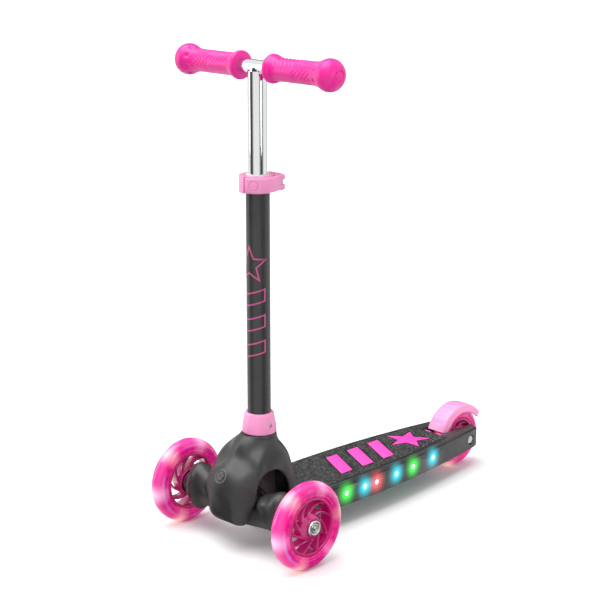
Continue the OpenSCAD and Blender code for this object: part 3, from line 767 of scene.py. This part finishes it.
def grip_relief(a, r, h):
    """Ridges, a diamond panel and end notches, all cut inwards from the turned form."""
    if r < BAR_R + 2:
        return 0.0
    ridge_pitch, ridge_starts, diamond_pitch, diamond_starts, notch_count = 6.6, 7, 7.2, 13, 8
    pattern_depth, notch_depth = 1.1, 1.7
    turn = a / (2 * math.pi)
    top = math.cos(a - math.radians(100))
    ridged = window(h, 40, 84, 7) * min(max(top * 1.8 + 0.3, 0), 1)
    ridge = 0.5 + 0.5 * math.cos(2 * math.pi * (h / ridge_pitch + turn * ridge_starts))
    diamonds = window(h, 76, 112, 4) * min(max(1.2 - abs(top + 0.15) * 1.3, 0), 1)
    right = math.sin(math.pi * (h / diamond_pitch + turn * diamond_starts))
    left = math.sin(math.pi * (h / diamond_pitch - turn * diamond_starts))
    diamond = abs(right * left) ** 0.6
    around = abs((turn * notch_count) % 1 - 0.5) * 2
    notch = bell(around, 0, 0.42) * window(h, 114, 124, 3.2)
    pattern = ridged * (1 - ridge) * pattern_depth + diamonds * (1 - diamond) * pattern_depth
    return -(pattern + notch * notch_depth)


def grip(side):
    """Soft grip: an inner flange, a slim patterned waist and a bulbous notched end."""
    end = BAR_HALF
    outer = [
        (16.2, 26.5), (18.3, 27.7), (19.0, 30.7), (18.2, 34.5), (16.2, 39.5), (15.2, 47), (15.1, 60),
        (15.1, 75), (15.1, 90), (15.15, 104), (16.0, 113), (18.4, 120.5), (20.4, 126.5), (20.85, 131),
        (20.0, 136.4), (17.5, 140.9), (13.7, 144.7), (10.2, end - 0.8),
    ]
    face = [(9.2, end), (8.0, end), (7.4, end - 1.1), (6.2, end - 1.1), (5.6, end), (0, end)]
    profile = smooth_steps(outer, 10) + rounded(face, 0.5, 2, closed=False)
    bore = [(0, end - 7.5), (BAR_R + 0.05, end - 7.5), (BAR_R + 0.05, 26.5)]
    node = "grip_left" if side > 0 else "grip_right"
    form = lathe(profile + bore, 160, (COLUMN_X, 0, BAR_Z), side=side, relief=grip_relief)
    piece(node + "_rubber", form, "hot_pink_rubber", "handlebar", (node,), sharp=50)


def stem_saddle():
    """The weld that blends the stem's top into the crossbar."""
    low = (COLUMN_X - 15, -28, BAR_Z - 20)
    high = (COLUMN_X + 15, 28, BAR_Z + 11)
    foot, top = (COLUMN_X, 0, BAR_Z - 26), (COLUMN_X, 0, BAR_Z - 9)

    def field(p):
        stem = limb(p, foot, top, STEM_R - 0.4, STEM_R - 2.5)
        bar = rod(p, (COLUMN_X, -30, BAR_Z), (COLUMN_X, 30, BAR_Z), BAR_R + 0.08)
        kept = slab(p, (COLUMN_X, 0, BAR_Z - 4), (14, 26, 14))
        return np.maximum(melt(stem, bar, 4), kept)

    form = net(field, low, high, 0.8)
    piece("stem_saddle_weld", form, "chrome", "handlebar", sharp=50, clean=False)


# ---- wheels


def wheel_tyre(node, axle, radius, rim_r, body, look):
    """Crowned cast tyre with a stepped sidewall."""
    half = 12.0
    side = [
        (rim_r, half - 2.4), (rim_r + 1.2, half - 0.9), (rim_r + 3.4, half - 0.5),
        (rim_r + 4.0, half - 1.3), (rim_r + 5.0, half - 0.1), (radius - 8.2, half - 0.1),
        (radius - 3.8, half - 3.0), (radius - 1.0, half - 6.6), (radius, 0),
    ]
    profile = side + [(r, -h) for r, h in reversed(side[:-1])]
    MATERIAL[look] = clear_tyre(look, axle, radius, rim_r).owner
    form = lathe(rounded(profile, 1.6, 4), 144, axle)
    piece(node + "_cast", form, look, body, (node,))


def blade(axle, side, angle, r1):
    """One curved vane from the hub out to the rim at r1."""
    r0, sweep = 17.5, math.radians(52)
    top, bottom, dip = 8.6, -7.5, 2.6
    steps, half_t = 14, 1.15
    section = [
        (-1.0, bottom), (-1.0, top - 1.2), (-0.6, top - 0.3), (0, top),
        (0.6, top - 0.3), (1.0, top - 1.2), (1.0, bottom),
    ]
    verts = []
    for i in range(steps):
        u = i / (steps - 1)
        r = r0 + (r1 - r0) * u
        a = angle + sweep * (u ** 0.8)
        slant = math.atan2(0.8 * sweep * max(u, 0.08) ** -0.2 * r, r1 - r0)
        thick = half_t * (1.9 - 1.1 * u + 0.5 * max(u - 0.8, 0) * 5)
        drop = dip * math.sin(math.pi * u)
        across = (-math.sin(a + slant), math.cos(a + slant))
        for w, h in section:
            lift = h - drop if h > bottom + 1 else h
            x = r * math.cos(a) + across[0] * w * thick
            z = r * math.sin(a) + across[1] * w * thick
            verts.append((axle[0] + x, axle[1] + side * lift, axle[2] + z))
    faces = grid_faces(steps, len(section), wrap_cols=True)
    faces.append(tuple(range(len(section))))
    faces.append(tuple(reversed(range((steps - 1) * len(section), steps * len(section)))))
    return verts, faces


def wheel_core(node, axle, side, rim_r, blades, body, capped):
    """Hub, swirling vanes and a rim with blocks that grip the tyre."""
    in_r = rim_r - 4.6
    hub_face = 13.2 if capped else 10.6
    hub = [
        (11.1, -11.4), (13.9, -11.4), (13.9, -5), (18.1, -5), (18.1, -11.4), (19, -10.8), (19.2, 2),
        (18.4, 7.5), (15.6, 11.0), (13.6, hub_face), (11.15, hub_face),
    ]
    rim = [
        (in_r + 0.6, 10.6), (rim_r - 1.4, 10.9), (rim_r - 0.2, 9.4), (rim_r, 7.4), (rim_r, -7.4),
        (rim_r - 0.2, -9.4), (rim_r - 1.4, -10.9), (in_r + 0.6, -10.6), (in_r, -8.5), (in_r + 0.4, 0),
        (in_r, 8.5),
    ]
    blocks = 36

    def block_relief(a, r, h):
        if r < rim_r - 0.1 or abs(h) > 7.5:
            return 0.0
        return -1.5 if (a * blocks / (2 * math.pi)) % 1 < 0.3 else 0.0

    parts = [
        lathe(rounded(hub, 0.8, 3), 96, axle, side=side),
        lathe(rounded(rim, 0.8, 3), blocks * 6, axle, side=side, relief=block_relief),
    ]
    for i in range(blades):
        angle = 2 * math.pi * i / blades
        parts.append(blade(axle, side, angle, in_r + 1.5))
    piece(node + "_swirl", joined(parts), "magenta_core", body, (node,), sharp=45)


def hub_cap(node, axle, side, body):
    """Bright cap with a raised rim and a turned centre."""
    profile = [
        (10.9, 11.7), (10.9, 14.8), (10.3, 15.9), (9.4, 16.6), (8.3, 16.7), (7.6, 15.6), (6.6, 15.3),
        (5.4, 15.9), (4.4, 15.9), (3.8, 15.2), (2.6, 15.6), (1.2, 16.2), (0, 16.4), (0, 14.9),
        (8.6, 14.4), (8.6, 11.7),
    ]
    form = lathe(rounded(profile, 0.5, 3), 72, axle, side=side)
    piece(node + "_turned", form, "bright_metal", body, (node,), sharp=40)


# Room between a core's rim and the tyre's bore
RIM_GAP = 0.15


def front_wheel(name, side):
    axle = (FRONT_AXLE[0], middle("front_tyre_" + name)[1], FRONT_AXLE[2])
    body = "front_wheel_" + name
    rim_r = 40.6
    wheel_tyre("front_tyre_" + name, axle, FRONT_R, rim_r, body, "clear_tyre_" + name)
    wheel_core("front_core_" + name, axle, side, rim_r - RIM_GAP, 9, body, True)
    hub_cap("front_hub_cap_" + name, axle, side, body)


def rear_wheel():
    rim_r = 30.0
    wheel_tyre("rear_tyre", REAR_AXLE, REAR_R, rim_r, "rear_wheel", "clear_tyre_rear")
    wheel_core("rear_core", REAR_AXLE, 1, rim_r - RIM_GAP, 8, "rear_wheel", False)


# ---- front housing and truck


# Ridges and hollows of the housing, drawn on a sheet that faces its front left corner: how far
# across, how far up. The next three say how the sheet is turned and how far it leans back.
SHEET_TURN, SHEET_LEAN_X, SHEET_LEAN_Y = 0.905, 0.277, 0.275
VALLEY = [(8, 143), (-9, 125), (-21, 114), (-34, 104)]
BROW = [(35, 127), (17, 124), (2, 114), (-7, 103), (-9, 90), (-4, 77), (1, 63)]
CREASE = [(-15, 101), (-17, 85), (-12, 71)]


def swell(across, up, line, width):
    """1 on a line and 0 far from it."""
    best = None
    for (a0, u0), (a1, u1) in zip(line, line[1:]):
        da, du = a1 - a0, u1 - u0
        k = np.clip(((across - a0) * da + (up - u0) * du) / (da * da + du * du), 0, 1)
        away = np.hypot(across - a0 - k * da, up - u0 - k * du)
        best = away if best is None else np.minimum(best, away)
    return np.exp(-(best / width) ** 2)


def housing_outer(p):
    """Blended form of the front housing, the same on both sides."""
    q = folded(p)
    x, y, z = q[..., 0], q[..., 1], q[..., 2]
    across = SHEET_TURN * y - x
    up = z - SHEET_LEAN_X * x - SHEET_LEAN_Y * y
    front = np.clip((x + y - 14) / 20, 0, 1)
    neck = limb(q, (0, 0, 148), (9, 0, 122), 20.5, 38.0)
    rear = limb(q, (-6, 14, 112), (-12, 22, 72), 28.0, 30.0)
    shield = limb(q, (23, 20, 108), (33, 20, 88), 28.0, 30.0)
    nose = melt(egg(q, (44, 0, 92), (32, 37, 34)), slab(q, (28, 0, 70), (44, 37, 33), 21), 14)
    body = melt(melt(melt(neck, rear, 10), shield, 12), nose, 12)
    relief = 2.6 * swell(across, up, VALLEY, 15) - 1.4 * swell(across, up, BROW, 14)
    relief += 1.2 * swell(across, up, CREASE, 10)
    body = body + relief * front
    collar = rod(q, (0, 0, 138), (0, 0, NECK_TOP), 23.4, 0.8)
    return melt(body, collar, 4)


# The arch over each axle arm, seen from the side
ARCH_X, ARCH_Z, ARCH_R = 20.0, 86.0, 28.5


def housing(p):
    """The housing's shell, open at the bottom and arched over the axle arms."""
    q = folded(p)
    x, y, z = q[..., 0], q[..., 1], q[..., 2]
    outer = housing_outer(p)
    wall, socket_r, bore_r = 3.5, 22.4, 20.05
    from_arch = np.sqrt((x - ARCH_X) ** 2 + (z - ARCH_Z) ** 2)
    from_arch = np.where(z < ARCH_Z, np.abs(x - ARCH_X), from_arch)
    shell = np.maximum(outer, -(outer + wall))
    socket = rod(q, (0, 0, 134), (0, 0, NECK_TOP - 0.8), socket_r)
    shell = melt(shell, socket, 2)
    shell = np.maximum(shell, z - NECK_TOP + 0.1)
    shell = carve(shell, from_arch - ARCH_R, 2.5)
    aside = np.clip((y - 10) / 20, 0, 1)
    jaw = 38 + 0.85 * aside * np.maximum(56 - x, 0) - z
    under = np.where(x > ARCH_X, jaw * 0.7, DECK_TOP + 0.05 - z)
    shell = np.maximum(shell, under)
    bore = np.sqrt(x ** 2 + y ** 2) - bore_r
    return np.maximum(shell, -np.maximum(bore, 120 - z))


def bead(path, width, rise, field):
    """A low rounded line that lies on a field's surface along a closed path."""
    points = np.array(path, float)
    for _ in range(8):
        points = onto(field, points, 0.6)
    out = slope(field, points, 0.4)
    out /= norm(out)[:, None]
    along = np.roll(points, -1, 0) - np.roll(points, 1, 0)
    along /= norm(along)[:, None]
    beside = np.cross(along, out)
    rows = []
    for w, h in ((-0.5, -0.4), (-0.5, 0.3), (-0.25, 1.0), (0.25, 1.0), (0.5, 0.3), (0.5, -0.4)):
        rows.append(points + beside * w * width + out * h * rise)
    verts = [tuple(v) for row in rows for v in row]
    return verts, grid_faces(len(rows), len(points), wrap_rows=True, wrap_cols=True)


def filled_path(corners):
    """Corners of a closed outline with points between them."""
    step = 0.7
    out = []
    for a, b in zip(corners, corners[1:] + corners[:1]):
        a, b = np.array(a, float), np.array(b, float)
        count = max(1, int(np.linalg.norm(b - a) / step))
        out.extend(a + (b - a) * k / count for k in range(count))
    return out


def front_emblem():
    """A plain ring round a small star, moulded on the middle of the housing's front."""
    centre = np.array((COLUMN_X + 76, 0, 110))
    up = np.array((-0.56, 0, 0.83))
    left = np.array((0, 1, 0))
    ring_r, ring_width, star_width, rise = 10.5, 1.7, 1.4, 0.5
    turns = np.linspace(0, 2 * math.pi, 96, endpoint=False)
    ring = [centre + ring_r * (math.cos(a) * left + math.sin(a) * up) for a in turns]
    star = filled_path([centre + left * x + up * y for x, y in star_points(6.4, 2.7, 90)])
    form = joined([
        bead(ring, ring_width, rise, housing_outer), bead(star, star_width, rise, housing_outer)
    ])
    piece("housing_emblem_ring", form, "black_plastic", "deck", sharp=50)


def front_housing():
    low, high = span("front_housing")
    form = net(housing, low - 4, high + (4, 4, 0), 1.5)
    look = "graphite_plastic"
    piece("front_housing_shell", form, look, "deck", ("front_housing",), sharp=50, clean=False)
    front_emblem()


def truck(p):
    """Axle beam: hub on the steering pin, two arms and the cheeks beside the wheels."""
    q = folded(p)
    pin = np.array((27.0, 0, 66.0))
    lean = math.radians(45)
    along = np.array((math.sin(lean), 0, math.cos(lean)))
    hub = rod(q, pin - along * 23, pin + along * 23, 19.0, 1.5)
    root = limb(q, (35, 10, 50), (35, 58, 54), 17.0, 15.5)
    cheek = egg(q, (35, 82, 62), (19, 17, 34))
    end = limb(q, (30, 78, 60), (29, 98, 60), 20.0, 18)
    brow = limb(q, (38, 56, 72), (36, 74, 76), 15.0, 17.0)
    body = melt(melt(melt(hub, root, 6), brow, 6), cheek, 10)
    body = melt(body, end, 12)
    axle_bore = rod(q, (29, 60, 60), (29, 120, 60), 4.05)
    pin_bore = rod(q, pin - along * 40, pin + along * 40, 8.0)
    hub_face_y = 104.4
    body = np.maximum(body, q[..., 1] - hub_face_y)
    return np.maximum(np.maximum(body, -axle_bore), -pin_bore)


def truck_beam():
    low, high = span("truck_beam")
    form = net(truck, low - (4, 0, 6), high + (12, 0, 6), 1.8)
    look = "graphite_plastic"
    piece("truck_beam_cast", form, look, "front_truck", ("truck_beam",), sharp=50, clean=False)


# ---- deck


# How far the mat's edge is inside the deck's side
MAT_MARGIN = 6.5


def on_mat(x, y, inset):
    """Whether a place is on the mat, a little inside its edge."""
    half = deck_half_width(x) - MAT_MARGIN
    return MAT_LOW[0] + inset < x < MAT_HIGH[0] - inset and abs(y) < half - inset


# The printed star and stripes of the mat
STAR_X, STAR_R, STAR_IN = COLUMN_X - 305, 34.0, 14.0
STRIPE_X = [COLUMN_X - 256 + 44 * i for i in range(3)]
STRIPE_W, STRIPE_Y, SLANT = 22.0, 30.0, 15.0


def star_points(r_out, r_in, turn=0.0):
    """Corners of a five-pointed star, turned by some degrees."""
    angles = [math.radians(36 * i + turn) for i in range(10)]
    return [(r * math.cos(a), r * math.sin(a)) for r, a in zip([r_out, r_in] * 5, angles)]


def graphic_shapes():
    """Outlines of the star and the stripes on the mat."""
    shapes = [[(STAR_X + x, y) for x, y in star_points(STAR_R, STAR_IN)]]
    for x in STRIPE_X:
        low = [(x - SLANT, -STRIPE_Y), (x + STRIPE_W - SLANT, -STRIPE_Y)]
        high = [(x + STRIPE_W + SLANT, STRIPE_Y), (x + SLANT, STRIPE_Y)]
        shapes.append(low + high)
    return shapes


def within(x, y, outline, margin):
    """Whether a place is in an outline or nearer to it than a margin."""
    inside = False
    near = False
    for (x0, y0), (x1, y1) in zip(outline, outline[1:] + outline[:1]):
        if (y0 > y) != (y1 > y) and x < (x1 - x0) * (y - y0) / (y1 - y0) + x0:
            inside = not inside
        length = (x1 - x0) ** 2 + (y1 - y0) ** 2
        t = min(max(((x - x0) * (x1 - x0) + (y - y0) * (y1 - y0)) / length, 0), 1)
        near = near or math.hypot(x - x0 - t * (x1 - x0), y - y0 - t * (y1 - y0)) < margin
    return inside or near


def raised_cell(hexagon, base, height):
    """One cell of the mat, with gaps round it: upright sides, a bevel and a flat top."""
    gap = 0.62
    mx = sum(x for x, y in hexagon) / 6
    my = sum(y for x, y in hexagon) / 6
    verts = []
    for shrink, z in ((gap, base - 0.1), (gap, base + height * 0.6), (gap * 2.4, base + height)):
        for x, y in hexagon:
            away = max(math.hypot(x - mx, y - my), 0.5)
            k = max(1 - shrink / away, 0.2)
            verts.append((mx + (x - mx) * k, my + (y - my) * k, z))
    top, underside = tuple(range(12, 18)), tuple(range(5, -1, -1))
    return verts, grid_faces(3, 6, wrap_cols=True) + [top, underside]


def pebbles():
    """Raised cells of the mat: a honeycomb whose shared corners are shaken about."""
    rng = random.Random(7)
    pitch, shake, rows_aside, sheet = 4.8, 0.95, 14, 0.5
    base = MAT_LOW[2] + sheet
    rise = MAT_HIGH[2] - MAT_LOW[2] - 0.55
    shapes = graphic_shapes()
    corners = {}

    def corner(i, j):
        if (i, j) not in corners:
            corners[(i, j)] = (rng.uniform(-shake, shake), rng.uniform(-shake, shake))
        return corners[(i, j)]

    cells = []
    side = pitch / math.sqrt(3)
    for row in range(-rows_aside, rows_aside + 1):
        for col in range(int((MAT_LOW[0] - 9) / pitch), int((MAT_HIGH[0] + 9) / pitch)):
            cx = (col + 0.5 * (row % 2)) * pitch
            cy = row * side * 1.5
            hexagon = []
            for k in range(6):
                a = math.radians(60 * k + 30)
                x, y = cx + side * math.cos(a), cy + side * math.sin(a)
                dx, dy = corner(round(x / (pitch / 2)), round(y / (side / 2)))
                hexagon.append((x + dx, y + dy))
            if not all(on_mat(x, y, 0.3) for x, y in hexagon):
                continue
            if any(within(x, y, shape, 0.5) for shape in shapes for x, y in hexagon + [(cx, cy)]):
                continue
            cells.append(raised_cell(hexagon, base, rise * rng.uniform(0.7, 1.0)))
    return joined(cells)


def grip_mat():
    """Thin mat with raised cells, cut out round the printed pattern."""
    source = frame["nodes"]["grip_mat"].data
    floor = [(v.co.x / MM, v.co.y / MM, min(v.co.z / MM, MAT_LOW[2] + 0.55)) for v in source.vertices]
    base = (floor, [tuple(f.vertices) for f in source.polygons])
    form = joined([base, pebbles()])
    piece("grip_mat_pebbled", form, "black_grip", "deck", ("grip_mat",), sharp=35)


def light_lenses(name, side):
    """Domed lenses in the deck's side, one for each lamp, in its own colour."""
    looks = ["green_lamp", "cyan_lamp", "red_lamp"]
    colours = [GREEN_LIGHT, CYAN_LIGHT, RED_LIGHT]
    depth, bulge, lens_r = 6, 0.6, LAMP_R - 0.1
    parts, counts = [], []
    for x, colour in DECK_LAMPS:
        y = deck_half_width(x)
        profile = [
            (0, y - depth), (lens_r, y - depth), (lens_r, y - 0.4), (lens_r - 0.5, y - 0.1),
            (lens_r - 1.5, y + 0.25), (lens_r - 2.7, y + 0.5), (0, y + bulge),
        ]
        part = lathe(rounded(profile, 0.3, 2), 32, (x, 0, LAMP_Z), side=side)
        counts.append((len(part[1]), colours.index(colour)))
        parts.append(part)
    form = joined(parts)
    obj = piece(name + "_lenses", form, looks[0], "deck", (name,), sharp=40, clean=False)
    for look in looks[1:]:
        obj.data.materials.append(MATERIAL[look])
    start = 0
    for count, index in counts:
        for polygon in obj.data.polygons[start:start + count]:
            polygon.material_index = index
        start += count


def deck():
    softened("deck_board", "deck_board_moulded", 2.2, "deck", "deck", 4, 25)
    softened("deck_graphic", "deck_graphic_print", 0.25, "pink_print", "deck", 2)
    grip_mat()
    light_lenses("light_windows_left", 1)
    light_lenses("light_windows_right", -1)


# ---- brake fender


# Angles of the fender's tread grooves round the wheel, in degrees
GROOVES = (36, 48, 60, 72, 84)


def fender_section(a, half, across):
    """Points across the fender at an angle round the wheel: along its outside, back along its inside."""
    r_top, thick, inset = REAR_R + 7.5, 3.0, 2.3
    crown, shoulder, shoulder_width, shoulder_drop = 1.1, 0.72, 0.28, 9.4
    crease_y, crease_depth, groove_depth = 12.2, 0.5, 0.8
    degrees = math.degrees(a)
    lip = 0.9 * max((degrees - 128) / 12, 0) ** 2
    outer, inner = [], []
    for j in range(across):
        t = -1 + 2 * j / (across - 1)
        y = t * half * (1 - 0.02 * abs(t) ** 2.6)
        past_shoulder = max((abs(t) - shoulder) / shoulder_width, 0)
        drop = crown * t * t + shoulder_drop * past_shoulder ** 2.2
        groove = sum(bell(degrees, at, 1.3) * window(abs(y), -1, 7.5, 2.0) for at in GROOVES)
        crease = crease_depth * bell(abs(y), crease_y, 0.9)
        outer.append(round_axle(REAR_AXLE, r_top - drop - groove * groove_depth - crease + lip, a, y))
        inside_r = r_top - thick - drop * 0.93 + lip
        inner.append(round_axle(REAR_AXLE, inside_r, a, y * (half - inset) / half))
    return outer + inner[::-1]


def brake_fender():
    """Crowned arch over the rear wheel, with short grooves across its tread."""
    half = span("brake_fender")[1][1]
    stations, across = 90, 36
    start, end = math.radians(22), math.radians(140)
    verts = []
    for i in range(stations):
        verts += fender_section(start + (end - start) * i / (stations - 1), half, across)
    loop = 2 * across
    faces = grid_faces(stations, loop, wrap_cols=True)
    for base in (0, (stations - 1) * loop):
        for j in range(across - 1):
            faces.append((base + j, base + j + 1, base + loop - 2 - j, base + loop - 1 - j))
    pin = middle("brake_pivot_pin")
    bore_r, lug_r, lug_start, lug_end = 2.6, 5.4, 6.2, half - 1.6
    lug = [(bore_r, lug_start), (lug_r, lug_start), (lug_r, lug_end), (bore_r, lug_end)]
    lugs = [lathe(rounded(lug, 0.5, 2), 40, pin, side=side) for side in (1, -1)]
    look = "pale_pink_plastic"
    form = joined([(verts, faces)] + lugs)
    piece("brake_fender_arch", form, look, "brake", ("brake_fender",), sharp=50)


# ---- column and clamp


def around_column(points, r):
    """Points drawn flat, as (length round the front, height), wrapped on the column."""
    return [(COLUMN_X + r * math.cos(a / r), r * math.sin(a / r), z) for a, z in points]


def inset_outline(points, width):
    """The same outline drawn inwards, each corner moved along its bisector."""
    count = len(points)
    out = []
    for i, (x, y) in enumerate(points):
        before, after = np.array(points[i - 1]), np.array(points[(i + 1) % count])
        here = np.array((x, y))
        u = (here - before) / np.linalg.norm(here - before)
        v = (after - here) / np.linalg.norm(after - here)
        n = np.array((-u[1], u[0])) + np.array((-v[1], v[0]))
        n = n / max(np.linalg.norm(n), 1e-6)
        k = max(0.35, n @ np.array((-u[1], u[0])))
        out.append(tuple(here + n * width / k))
    return out


def column_outline(points):
    """A raised line round one closed outline, wrapped on the column."""
    width, rise, sunk = 2.0, 0.14, 0.05
    inner = inset_outline(points, width)
    outer_path, inner_path = [], []
    for i in range(len(points)):
        p, p1 = np.array(points[i]), np.array(points[(i + 1) % len(points)])
        q, q1 = np.array(inner[i]), np.array(inner[(i + 1) % len(points)])
        steps = max(2, int(np.linalg.norm(p1 - p) / 1.2))
        for k in range(steps):
            outer_path.append(p + (p1 - p) * k / steps)
            inner_path.append(q + (q1 - q) * k / steps)
    section = ((outer_path, -sunk), (outer_path, rise), (inner_path, rise), (inner_path, -sunk))
    verts = [v for path, h in section for v in around_column(path, COLUMN_R + h)]
    return verts, grid_faces(len(section), len(outer_path), wrap_rows=True, wrap_cols=True)


def column_graphic():
    """Outlined star and stripes up the front of the column, in a darker copy of the pink print that paints
    shade.
    """
    star_z, first_bar_z, bar_step, bar_half = 388, 346, 35, 23
    parts = [column_outline([(x, star_z + y) for x, y in star_points(27.0, 12.0, 90)])]
    for i in range(3):
        z = first_bar_z - bar_step * i
        bar = [(-bar_half, z - 21), (bar_half, z - 7), (bar_half, z + 11), (-bar_half, z - 3)]
        parts.append(column_outline(bar))
    piece("column_outline_print", joined(parts), "shaded_column_print", "deck", sharp=40)


def clamp_lever():
    """Quick-release lever: a rounded band that hugs the collar, with a recessed round."""
    low, high = span("clamp_lever")
    pin = middle("lever_pivot_pin")
    in_r, out_r, web_r = 20.9, 25.4, 23.2
    head_r, pin_hole_r, knuckle_gap, knuckle_half = 6.4, 2.05, 5.35, 3.4
    web_half, web_growth = 2.25, 3
    mid_z = (low[2] + high[2]) / 2
    half_h = (high[2] - low[2]) / 2
    tip, root = math.radians(4), math.radians(124)
    badge, badge_r, badge_line = math.radians(34), 6.2, 0.7

    def field(p):
        x, y, z = p[..., 0] - COLUMN_X, p[..., 1], p[..., 2] - mid_z
        rho = np.sqrt(x * x + y * y)
        angle = np.arctan2(y, x)
        centre = (tip + root) / 2
        arc = (np.abs(angle - centre) - (root - tip) / 2) * rho
        bulge = 0.7 * (z / half_h) ** 2
        edge = 1.7
        off = np.abs(rho - (in_r + out_r) / 2) - (out_r - in_r) / 2 + bulge * (rho > in_r + 2)
        q = np.stack([off, np.abs(z) - half_h, arc], -1) + edge
        band = norm(np.maximum(q, 0)) + np.minimum(q.max(-1), 0) - edge
        head = rod(p, (pin[0], pin[1], low[2]), (pin[0], pin[1], high[2]), head_r, 1.5)
        root_at = (COLUMN_X + web_r * math.cos(root - 0.1), web_r * math.sin(root - 0.1), mid_z)
        to_pin = np.array([pin[0] - root_at[0], pin[1] - root_at[1], 0])
        t = np.clip(((p - np.array(root_at)) @ to_pin) / (to_pin @ to_pin), 0, 1)
        side = from_upright(p, root_at[0] + t * to_pin[0], root_at[1] + t * to_pin[1])
        web = flat_pair(side - (web_half + web_growth * t), np.abs(z) - half_h, 1.5)
        body = melt(melt(band, web, 2), head, 2)
        dx = (angle - badge) * rho
        ring = np.abs(np.sqrt(dx * dx + z * z) - badge_r) - badge_line
        body = np.maximum(body, -np.maximum(ring, (out_r - 1.0) - rho))
        pin_hole = from_upright(p, pin[0], pin[1]) - pin_hole_r
        slot = flat_pair(pin_hole - knuckle_gap, np.abs(z) - knuckle_half, 0)
        return np.maximum(np.maximum(body, -pin_hole), -slot)

    form = net(field, low - 1, high + 1, 0.7)
    look = "pale_pink_plastic"
    piece("clamp_lever_curved", form, look, "clamp_lever", ("clamp_lever",), sharp=50, clean=False)


def column_parts():
    look = "pale_pink_plastic"
    softened("lower_collar", "lower_collar_ring", 0.8, look, "deck")
    softened("clamp_collar", "clamp_collar_ring", 1.2, look, "deck")
    column_graphic()
    clamp_lever()


# ---- scene


# How many bright panels stand round the room, and how far they are turned, in radians
PANELS, PANEL_TURN = 3.0, -0.26


def panels(look, x, y):
    """Bright panels round the room with dark gaps between them, by direction."""
    around = look.sums("ARCTAN2", y, x)
    wave = look.sums("SINE", look.sums("ADD", look.times(around, PANELS), PANEL_TURN))
    return look.spread(wave, 0.0, 1.0, -0.9, 0.0)


def studio():
    """Plain pale floor. What the pieces mirror of it, and of the room, is dark between panels."""
    reach = 30.0
    corners = [(-reach, -reach, 0), (reach, -reach, 0), (reach, reach, 0), (-reach, reach, 0)]
    mesh = bpy.data.meshes.new("floor")
    mesh.from_pydata(corners, [], [(0, 1, 2, 3)])
    floor = link(bpy.data.objects.new("floor", mesh))
    look = Look("floor_paper")
    x, y, _ = look.axes(look.place())
    panel = panels(look, look.sums("SUBTRACT", x, COLUMN_X * MM), y)
    mirrored = look.mixed(panel, rgb(0.03, 0.03, 0.03), rgb(0.62, 0.62, 0.62))
    seen = look.node("LightPath", output="Is Camera Ray")
    look.set(
        Base_Color=look.mixed(seen, mirrored, rgb(0.95, 0.95, 0.95)),
        Roughness=look.spread(look.noise(3.0), 0.75, 0.9),
        Specular_IOR_Level=0.1,
    )
    floor.data.materials.append(look.owner)
    sky = Look("studio", world=True)
    x, y, z = sky.axes(sky.node("TexCoord", output="Generated"))
    panel = sky.spread(panels(sky, x, y), 0.02, 0.8)
    above = sky.spread(z, 0.0, 0.30, 0.2, 1.0)
    seen = sky.node("LightPath", output="Is Camera Ray")
    strength = sky.sums("MAXIMUM", sky.sums("ADD", panel, above), seen)
    sky.set(Color=rgb(1, 1, 1), Strength=strength)
    bpy.context.scene.world = sky.owner
    bpy.context.scene.view_settings.view_transform = "Standard"


def aim(obj, direction):
    """Turns a lamp or a camera to look along a direction."""
    obj.rotation_euler = Vector(direction).to_track_quat("-Z", "Y").to_euler()


def soft_lamp(name, at, target, size, power):
    """A large soft lamp that points at a place."""
    lamp = bpy.data.lights.new(name, "AREA")
    lamp.shape = "RECTANGLE"
    lamp.size, lamp.size_y = size
    lamp.energy = power
    obj = link(bpy.data.objects.new(name, lamp))
    obj.location = at
    aim(obj, Vector(target) - Vector(at))


def lights():
    """A broad even light from above for the floor, and soft lamps that model the forms."""
    data = bpy.data.lights.new("overhead", "SUN")
    data.energy = 2.7
    data.angle = math.radians(60)
    overhead = link(bpy.data.objects.new("overhead", data))
    aim(overhead, (-0.25, 0.2, -1.0))
    target, size, power = (0.1, 0, 0.25), (0.5, 1.6), 10
    soft_lamp("left", (0.0, 2.3, 0.9), target, size, power)
    soft_lamp("front", (1.6, -1.7, 0.9), target, size, power)


def camera():
    """Camera at the front left, higher than the handlebar, looking down a little."""
    azimuth, elevation, distance = math.radians(45.165), math.radians(14.63), 2.2224
    target = Vector((COLUMN_X * MM - 0.0779, 0, 0.323))
    away = Vector((
        math.cos(azimuth) * math.cos(elevation), math.sin(azimuth) * math.cos(elevation),
        math.sin(elevation),
    ))
    data = bpy.data.cameras.new("camera")
    data.lens = 97.86
    data.sensor_width = 36.0
    obj = link(bpy.data.objects.new("camera", data))
    obj.location = target + away * distance
    aim(obj, -away)
    bpy.context.scene.camera = obj


camera()
studio()
lights()
dress_cad_nodes()
for side in (1, -1):
    grip(side)
stem_saddle()
front_wheel("left", 1)
front_wheel("right", -1)
rear_wheel()
front_housing()
truck_beam()
deck()
brake_fender()
column_parts()
